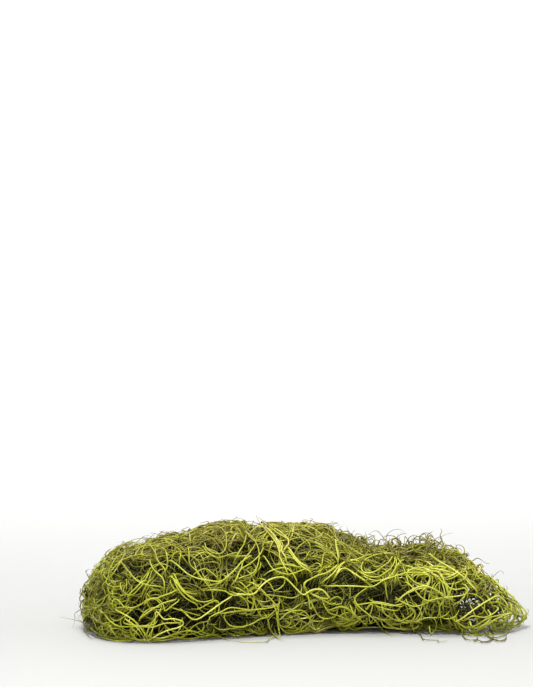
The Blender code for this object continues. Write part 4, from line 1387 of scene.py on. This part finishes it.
def white_material():
    """White, painted darker near the bunch as painted shade, and with a faint glow far from it."""
    material, shader, place = new_material("white_sweep")
    back, right = place.part("Y"), place.part("X")
    far = back.clamped(*SWEEP_BRIGHTENS) + back.clamped(*SWEEP_FRONT_BRIGHTENS)
    away = back.clamped(-SWEEP_GLOWS_FROM, -SWEEP_GLOWS_TO)
    for side in (-1, 1):
        away = away + right.clamped(side * SWEEP_GLOWS_FROM, side * SWEEP_GLOWS_TO)
    feed(shader.inputs, {
        "Base Color": far.ramp([(0.0, SWEEP_NEAR_PAINTED_SHADE), (1.0, SWEEP_FAR)]),
        "Emission Color": away.ramp([(0.0, BLACK), (1.0, SWEEP_GLOW)]),
        "Emission Strength": 1.0,
        "Roughness": 0.7,
        "Specular IOR Level": 0.1,
    })
    return material


def white_sweep():
    """A sheet that lies on the table and curves up behind it."""
    line = [(SWEEP_FRONT, 0.0), (SWEEP_BEND_AT, 0.0)]
    for k in range(1, SWEEP_BEND_STEPS + 1):
        turn = math.pi / 2 * k / SWEEP_BEND_STEPS
        line.append((
            SWEEP_BEND_AT + SWEEP_BEND * math.sin(turn),
            SWEEP_BEND * (1 - math.cos(turn)),
        ))
    line.append((line[-1][0], SWEEP_TOP))
    points = [(x, y, z + SWEEP_LEVEL) for y, z in line for x in (-SWEEP_WIDTH / 2, SWEEP_WIDTH / 2)]
    faces = [(2 * k, 2 * k + 1, 2 * k + 3, 2 * k + 2) for k in range(len(line) - 1)]
    mesh = bpy.data.meshes.new("white_sweep")
    mesh.from_pydata(points, [], faces)
    sweep = added("white_sweep", mesh)
    bpy.ops.object.shade_smooth()
    mesh.materials.append(white_material())
    print("the table reaches from y =", SWEEP_FRONT, "to y =", round(line[-1][0], 2))


white_sweep()

# %% [markdown]
# ## The light
#
# A small bright lamp above, to the front and left, draws each strand and throws its shadow. A
# broad one low in front fills the shadows, a third makes the wall white, and a white world round
# it all does the rest.

# %% Lamps and world
LAMPS = (
    # name, place, what it looks at, size across, and power in watts
    ("key", (-0.12, -0.60, 0.90), (0, 0, 0.02), 0.18, 14.0),
    ("front", (0.15, -1.15, 0.26), (0, 0, 0.02), 0.7, 6.5),
    ("wall", (0, 0.2, 2.6), (0, 1.4, 0.4), 1.6, 60),
)
WORLD_STRENGTH = 0.30
for name, place, aim, size, power in LAMPS:
    bpy.ops.object.light_add(type="AREA", location=place)
    lamp = bpy.context.object
    lamp.name = name
    lamp.data.shape = "DISK"
    lamp.data.size = size
    lamp.data.energy = power
    lamp.rotation_euler = (Vector(aim) - Vector(place)).to_track_quat("-Z", "Y").to_euler()

world = bpy.data.worlds.new("white_room")
bpy.context.scene.world = world
world.use_nodes = True
background = world.node_tree.nodes["Background"]
feed(background.inputs, {"Color": (1, 1, 1, 1), "Strength": WORLD_STRENGTH})
bpy.context.scene.view_settings.view_transform = "Standard"
print(len(LAMPS), "lamps")

# %% [markdown]
# ## The end
#
# The rings were only tools and go.

# %% Finish
for ring in rings.values():
    bpy.data.objects.remove(ring)
